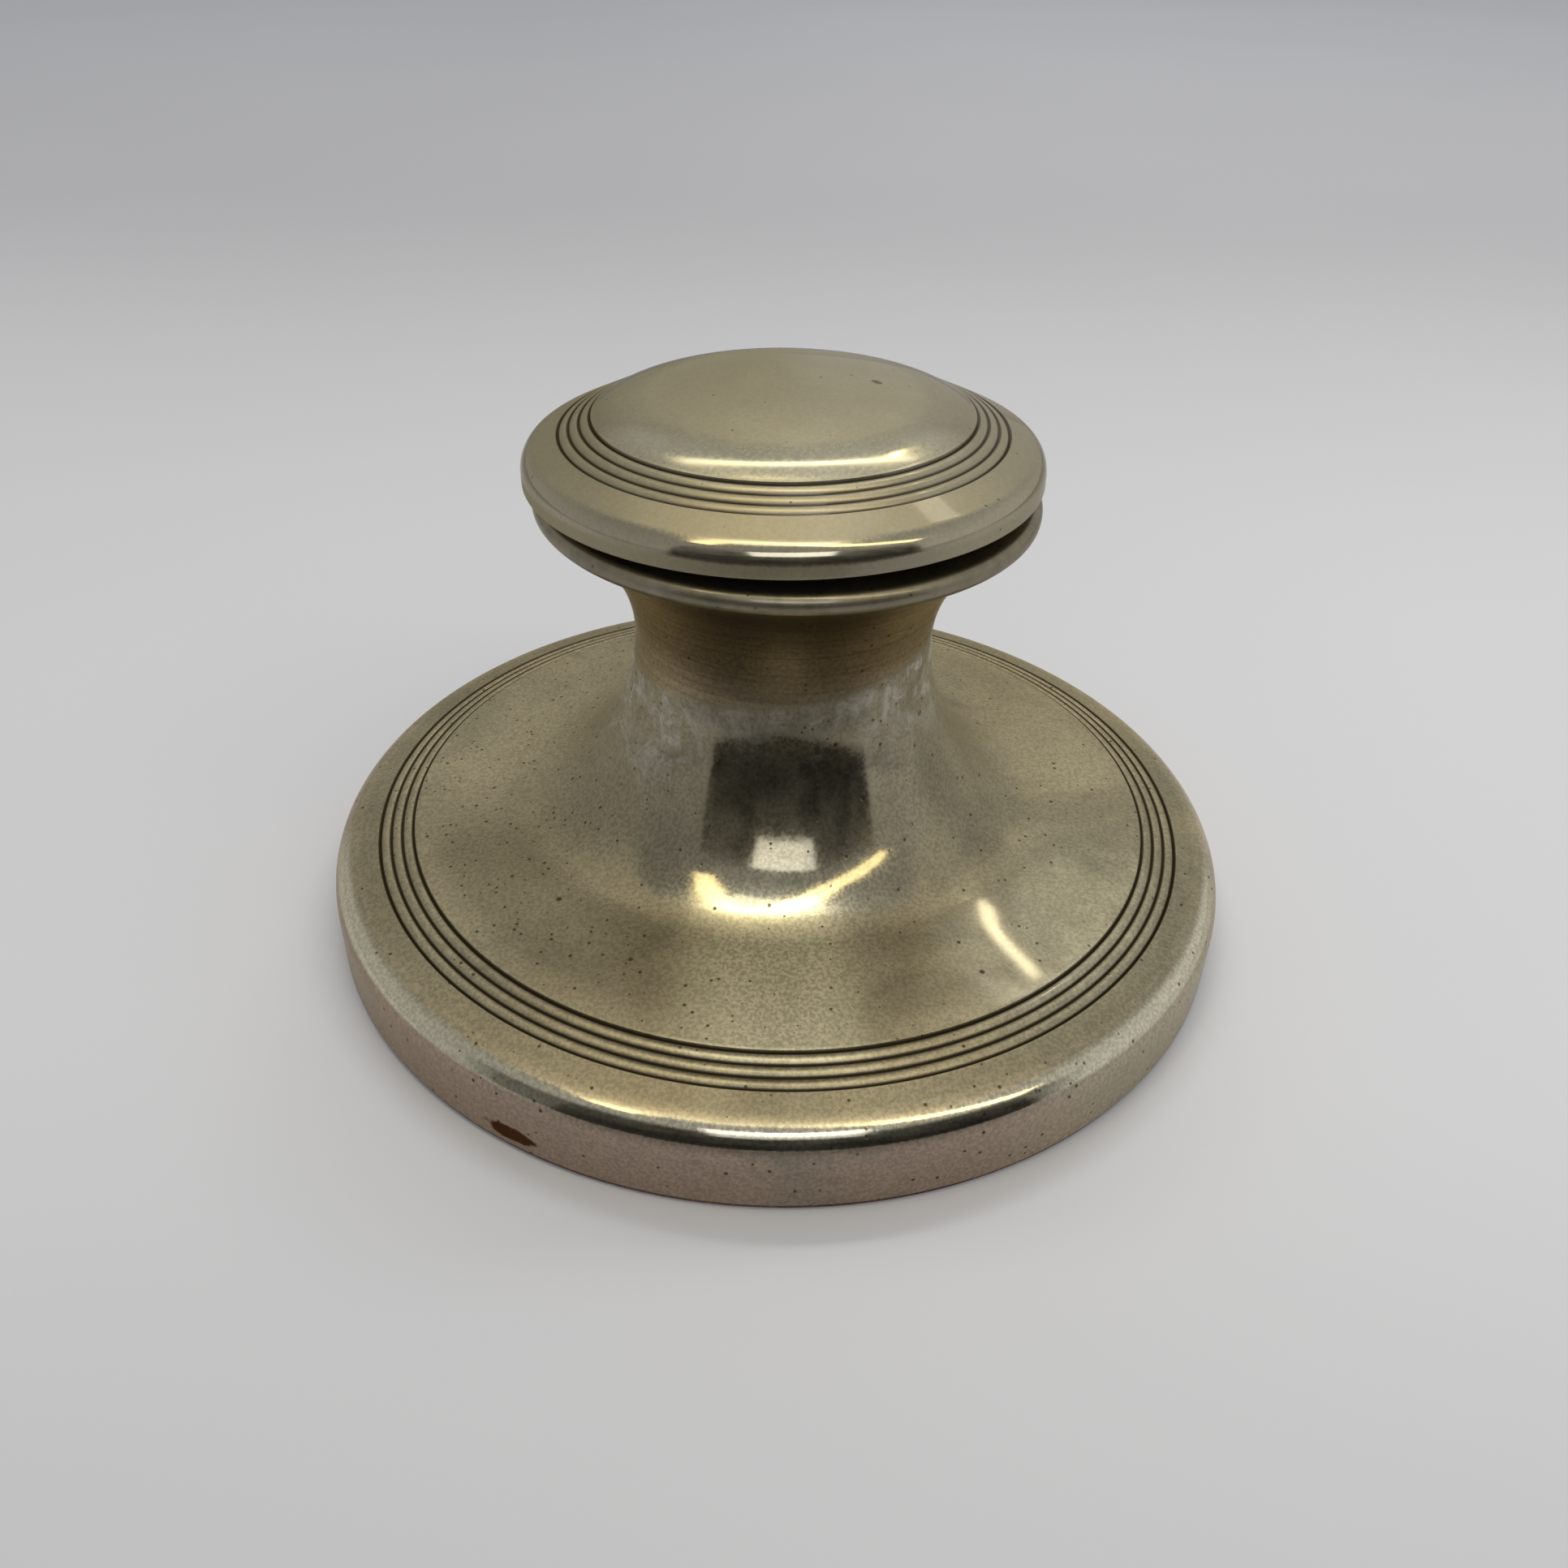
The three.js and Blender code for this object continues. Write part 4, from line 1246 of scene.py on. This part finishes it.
class INKWELL_OT_base(Operator):
    """Cut the leather cover, and finish the board and the filling that it hides."""

    bl_idname = "inkwell.base"
    bl_label = "Base"

    def execute(self, context):
        stand, _, _, _, base = scene_sizes()
        radius = stand.foot_radius - base.cover_inset
        bm = spun_disc(radius, 0, stand.foot_height, base.cover_edge)
        finish_piece("leather_cover", bm, cover_leather(), "stand", "base_cover")
        for name, finish in (("base_board", board_wood()), ("filling", filling_plaster())):
            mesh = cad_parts[name].data
            mesh.materials.clear()
            mesh.materials.append(finish)
        return {"FINISHED"}


def from_view(azimuth, elevation, distance):
    """A place seen from the inkwell, by degrees right of the camera and above the table."""
    turn = math.radians(azimuth) + VIEW_TURN
    lift = math.radians(elevation)
    flat = distance * math.cos(lift)
    return Vector((flat * math.sin(turn), -flat * math.cos(turn), distance * math.sin(lift)))


def add_lamp(name, matrix, size, radiance, tint):
    """A soft rectangular lamp of that radiance, placed and turned by a matrix."""
    lamp = bpy.data.lights.new(name, "AREA")
    lamp.shape = "RECTANGLE"
    lamp.size, lamp.size_y = size
    lamp.energy = radiance * math.pi * size[0] * size[1]
    lamp.color = tint
    held = bpy.data.objects.new(name, lamp)
    held.matrix_world = matrix
    bpy.context.scene.collection.objects.link(held)
    return held


def add_mirrored_lamp(name, middle, size, radiance, tint):
    """A lamp that faces the inkwell and only shows mirrored in it."""
    facing = middle.to_track_quat("Z", "Y").to_matrix().to_4x4()
    lamp = add_lamp(name, Matrix.Translation(middle) @ facing, size, radiance, tint)
    lamp.visible_diffuse = False


def add_tube(name, start, end, width, radiance, tint):
    """A long lamp under the ceiling that faces the inkwell.

    Its ends are given to the right and away from the camera, as shares of the ceiling's height.
    """
    height = bpy.context.scene.inkwell_stage.ceiling
    turn = Matrix.Rotation(VIEW_TURN, 3, "Z")
    first, last = (turn @ Vector((*shares, 1.0)) * height for shares in (start, end))
    middle = (first + last) / 2
    along = (last - first).normalized()
    back = (middle - along * middle.dot(along)).normalized()
    facing = Matrix((along, back.cross(along), back)).transposed().to_4x4()
    size = ((last - first).length, width)
    return add_lamp(name, Matrix.Translation(middle) @ facing, size, radiance, tint)


def table_finish():
    """Pale, faintly uneven table, with painted shade towards the back and in front of the inkwell,
    and painted light to the right.
    """
    top = Finish("table")
    sides = top.split(top.spot)
    away = top.plus(sides["X"], sides["Y"])
    # Faint random unevenness, painted shade towards the back and in front of the inkwell, and
    # painted light to the right.
    shade = top.times(
        top.ramp(top.cloud(top.spot, 5.0, 2.0), 0.3, 0.7, 0.985, 1.0),
        top.ramp(away, 0.05, 0.6, 1.0, 0.7),
        top.ramp(away, -0.2, -0.04, 0.84, 1.0),
        top.ramp(top.minus(sides["X"], sides["Y"]), -0.3, 0.3, 1.0, 1.12),
    )
    base = top.shaded(bpy.context.scene.inkwell_stage.floor, shade)
    top.give({"Base Color": base, "Roughness": 0.8, "Specular IOR Level": 0.2})
    return top.material


def card_finish():
    """Dark room, lighter higher up, that fades into the pale room."""
    card = Finish("dark card")
    height = card.split(card.spot)["Z"]
    shade = card.ramp(height, 0.0, 0.33, 0.09, 0.26)
    patchy = card.ramp(card.cloud(card.spot, 9.0, 2.0), 0.35, 0.65, 0.6, 1.2)
    alpha = card.ramp(height, 0.3, 0.62, 1.0, 0.0)
    card.give({"Base Color": card.times(shade, patchy), "Alpha": alpha})
    card.give({"Roughness": 0.9, "Specular IOR Level": 0.0})
    return card.material


def build_room():
    """The world: a pale room, brighter to the right and straight overhead."""
    world = bpy.data.worlds.new("pale room")
    world.use_nodes = True
    world.node_tree.nodes.clear()
    nodes = Nodes(world.node_tree)
    parts = nodes.split(nodes.add("TexCoord", {})["Generated"])
    right = nodes.minus(parts["X"], parts["Y"])
    level = nodes.plus(
        nodes.ramp(parts["Z"], 0.1, 0.95, 0.6, 0.5),
        nodes.times(right, 0.08),
        nodes.ramp(parts["Z"], 0.86, 0.98, 0.0, 0.22),
    )
    wall = bpy.context.scene.inkwell_stage.wall
    sky = nodes.add("Background", {"Color": wall, "Strength": level})
    nodes.add("OutputWorld", {"Surface": sky[0]})
    bpy.context.scene.world = world


def build_lamps():
    """Long lamps behind, to the right and in front, and two soft lamps that only mirror."""
    white, yellow = (1.0, 0.92, 0.7), (1.0, 0.85, 0.5)
    back = ((-0.5, 0.48), (0.62, 0.6), 0.16)
    add_tube("back_tube", *back, 3.5, white)
    fill = add_tube("back_fill", *back, 9.0, (1.0, 0.97, 0.95))
    fill.visible_glossy = False
    bends = ((0.426, 0.8), (0.408, 0.735), (0.449, 0.68))
    add_tube("right_tube_far", *bends[:2], 0.035, 27.0, yellow)
    add_tube("right_tube_near", *bends[1:], 0.035, 27.0, yellow)
    bends = ((-0.54, -0.49), (-0.17, 0.03), (0.37, -0.44), (1.28, -0.63))
    for number, ends in enumerate(zip(bends, bends[1:])):
        add_tube(f"front_tube_{number}", *ends, 0.24, 3.8, yellow)
    add_mirrored_lamp("paper", from_view(4, 40, 0.3), (0.145, 0.08), 2.4, (0.95, 0.96, 1.0))
    add_mirrored_lamp("glow", from_view(0, 81, 0.9), (0.4, 0.26), 1.9, (1.0, 0.94, 0.76))


def build_dark_card():
    """A dark room beyond the table's near edge, as a bent card that only shows mirrored."""
    look = bpy.context.scene.inkwell_stage
    bm = bmesh.new()
    corners = []
    for ahead, up in ((0.148, 0.0), (0.45, 0.0), (0.45, 0.62)):
        left = bm.verts.new((-ahead * math.tan(look.dark_left), -ahead, up))
        right = bm.verts.new((ahead * math.tan(look.dark_right), -ahead, up))
        corners.append((left, right))
    for (a, b), (c, d) in zip(corners, corners[1:]):
        bm.faces.new((a, b, d, c))
    lift = Matrix.Translation((0, 0, 0.0005))
    turned = lift @ Matrix.Rotation(VIEW_TURN, 4, "Z")
    bmesh.ops.transform(bm, matrix=turned, verts=bm.verts)
    card = add_object("dark_card", bm, card_finish())
    for ray in ("camera", "diffuse", "shadow", "transmission"):
        setattr(card, "visible_" + ray, False)


class INKWELL_OT_stage(Operator):
    """Set the table, the room, the lamps and the camera."""

    bl_idname = "inkwell.stage"
    bl_label = "Stage"

    def execute(self, context):
        scene = context.scene
        look = scene.inkwell_stage
        bm = bmesh.new()
        bmesh.ops.create_circle(bm, cap_ends=True, radius=look.floor_radius, segments=96)
        table = add_object("table", bm, table_finish())
        build_room()
        build_lamps()
        if look.dark_card:
            build_dark_card()

        camera = bpy.data.cameras.new("camera")
        camera.sensor_width = 36
        camera.lens = look.lens
        camera.clip_start = 0.005
        camera.clip_end = 20
        held = bpy.data.objects.new("camera", camera)
        eye, aim = Vector(look.eye), Vector(look.aim)
        facing = (aim - eye).to_track_quat("-Z", "Y").to_matrix().to_4x4()
        roll = Matrix.Rotation(look.roll, 4, "Z")
        held.matrix_world = Matrix.Translation(eye) @ facing @ roll
        scene.collection.objects.link(held)
        scene.camera = held
        scene.view_settings.view_transform = "Standard"
        return {"FINISHED"}


class INKWELL_PT_panel(Panel):
    """The inkwell's sizes and looks, and the operators that make it."""

    bl_idname = "INKWELL_PT_panel"
    bl_label = "Capstan inkwell"
    bl_space_type = "VIEW_3D"
    bl_region_type = "UI"
    bl_category = "Inkwell"

    def draw(self, context):
        for label, key, _ in GROUPS:
            box = self.layout.box()
            box.label(text=label)
            held = getattr(context.scene, key)
            for name in held.__annotations__:
                box.prop(held, name)
        for operator in OPERATORS:
            self.layout.operator(operator.bl_idname)


GROUPS = (
    ("Stand", "inkwell_stand", StandSizes),
    ("Collar and pot", "inkwell_collar", CollarSizes),
    ("Lid", "inkwell_lid", LidSizes),
    ("Hinge", "inkwell_hinge", HingeSizes),
    ("Base", "inkwell_base", BaseSizes),
    ("Silver", "inkwell_silver", SilverLook),
    ("Other finishes", "inkwell_other", OtherLook),
    ("Stage", "inkwell_stage", StageLook),
)
OPERATORS = (
    INKWELL_OT_finishes,
    INKWELL_OT_shell,
    INKWELL_OT_collar,
    INKWELL_OT_well,
    INKWELL_OT_lid,
    INKWELL_OT_hinge,
    INKWELL_OT_base,
    INKWELL_OT_stage,
)


def register():
    """Registers the property groups, the operators and the panel."""
    for _, key, group in GROUPS:
        bpy.utils.register_class(group)
        setattr(bpy.types.Scene, key, PointerProperty(type=group))
    for operator in OPERATORS:
        bpy.utils.register_class(operator)
    bpy.utils.register_class(INKWELL_PT_panel)


def unregister():
    """Takes back what register did."""
    bpy.utils.unregister_class(INKWELL_PT_panel)
    for operator in reversed(OPERATORS):
        bpy.utils.unregister_class(operator)
    for _, key, group in reversed(GROUPS):
        delattr(bpy.types.Scene, key)
        bpy.utils.unregister_class(group)


def main():
    """Makes the whole inkwell and its stage."""
    register()
    bpy.ops.inkwell.finishes()
    bpy.ops.inkwell.shell()
    bpy.ops.inkwell.collar()
    bpy.ops.inkwell.well()
    bpy.ops.inkwell.lid()
    bpy.ops.inkwell.hinge()
    bpy.ops.inkwell.base()
    bpy.ops.inkwell.stage()


if __name__ == "__main__":
    main()
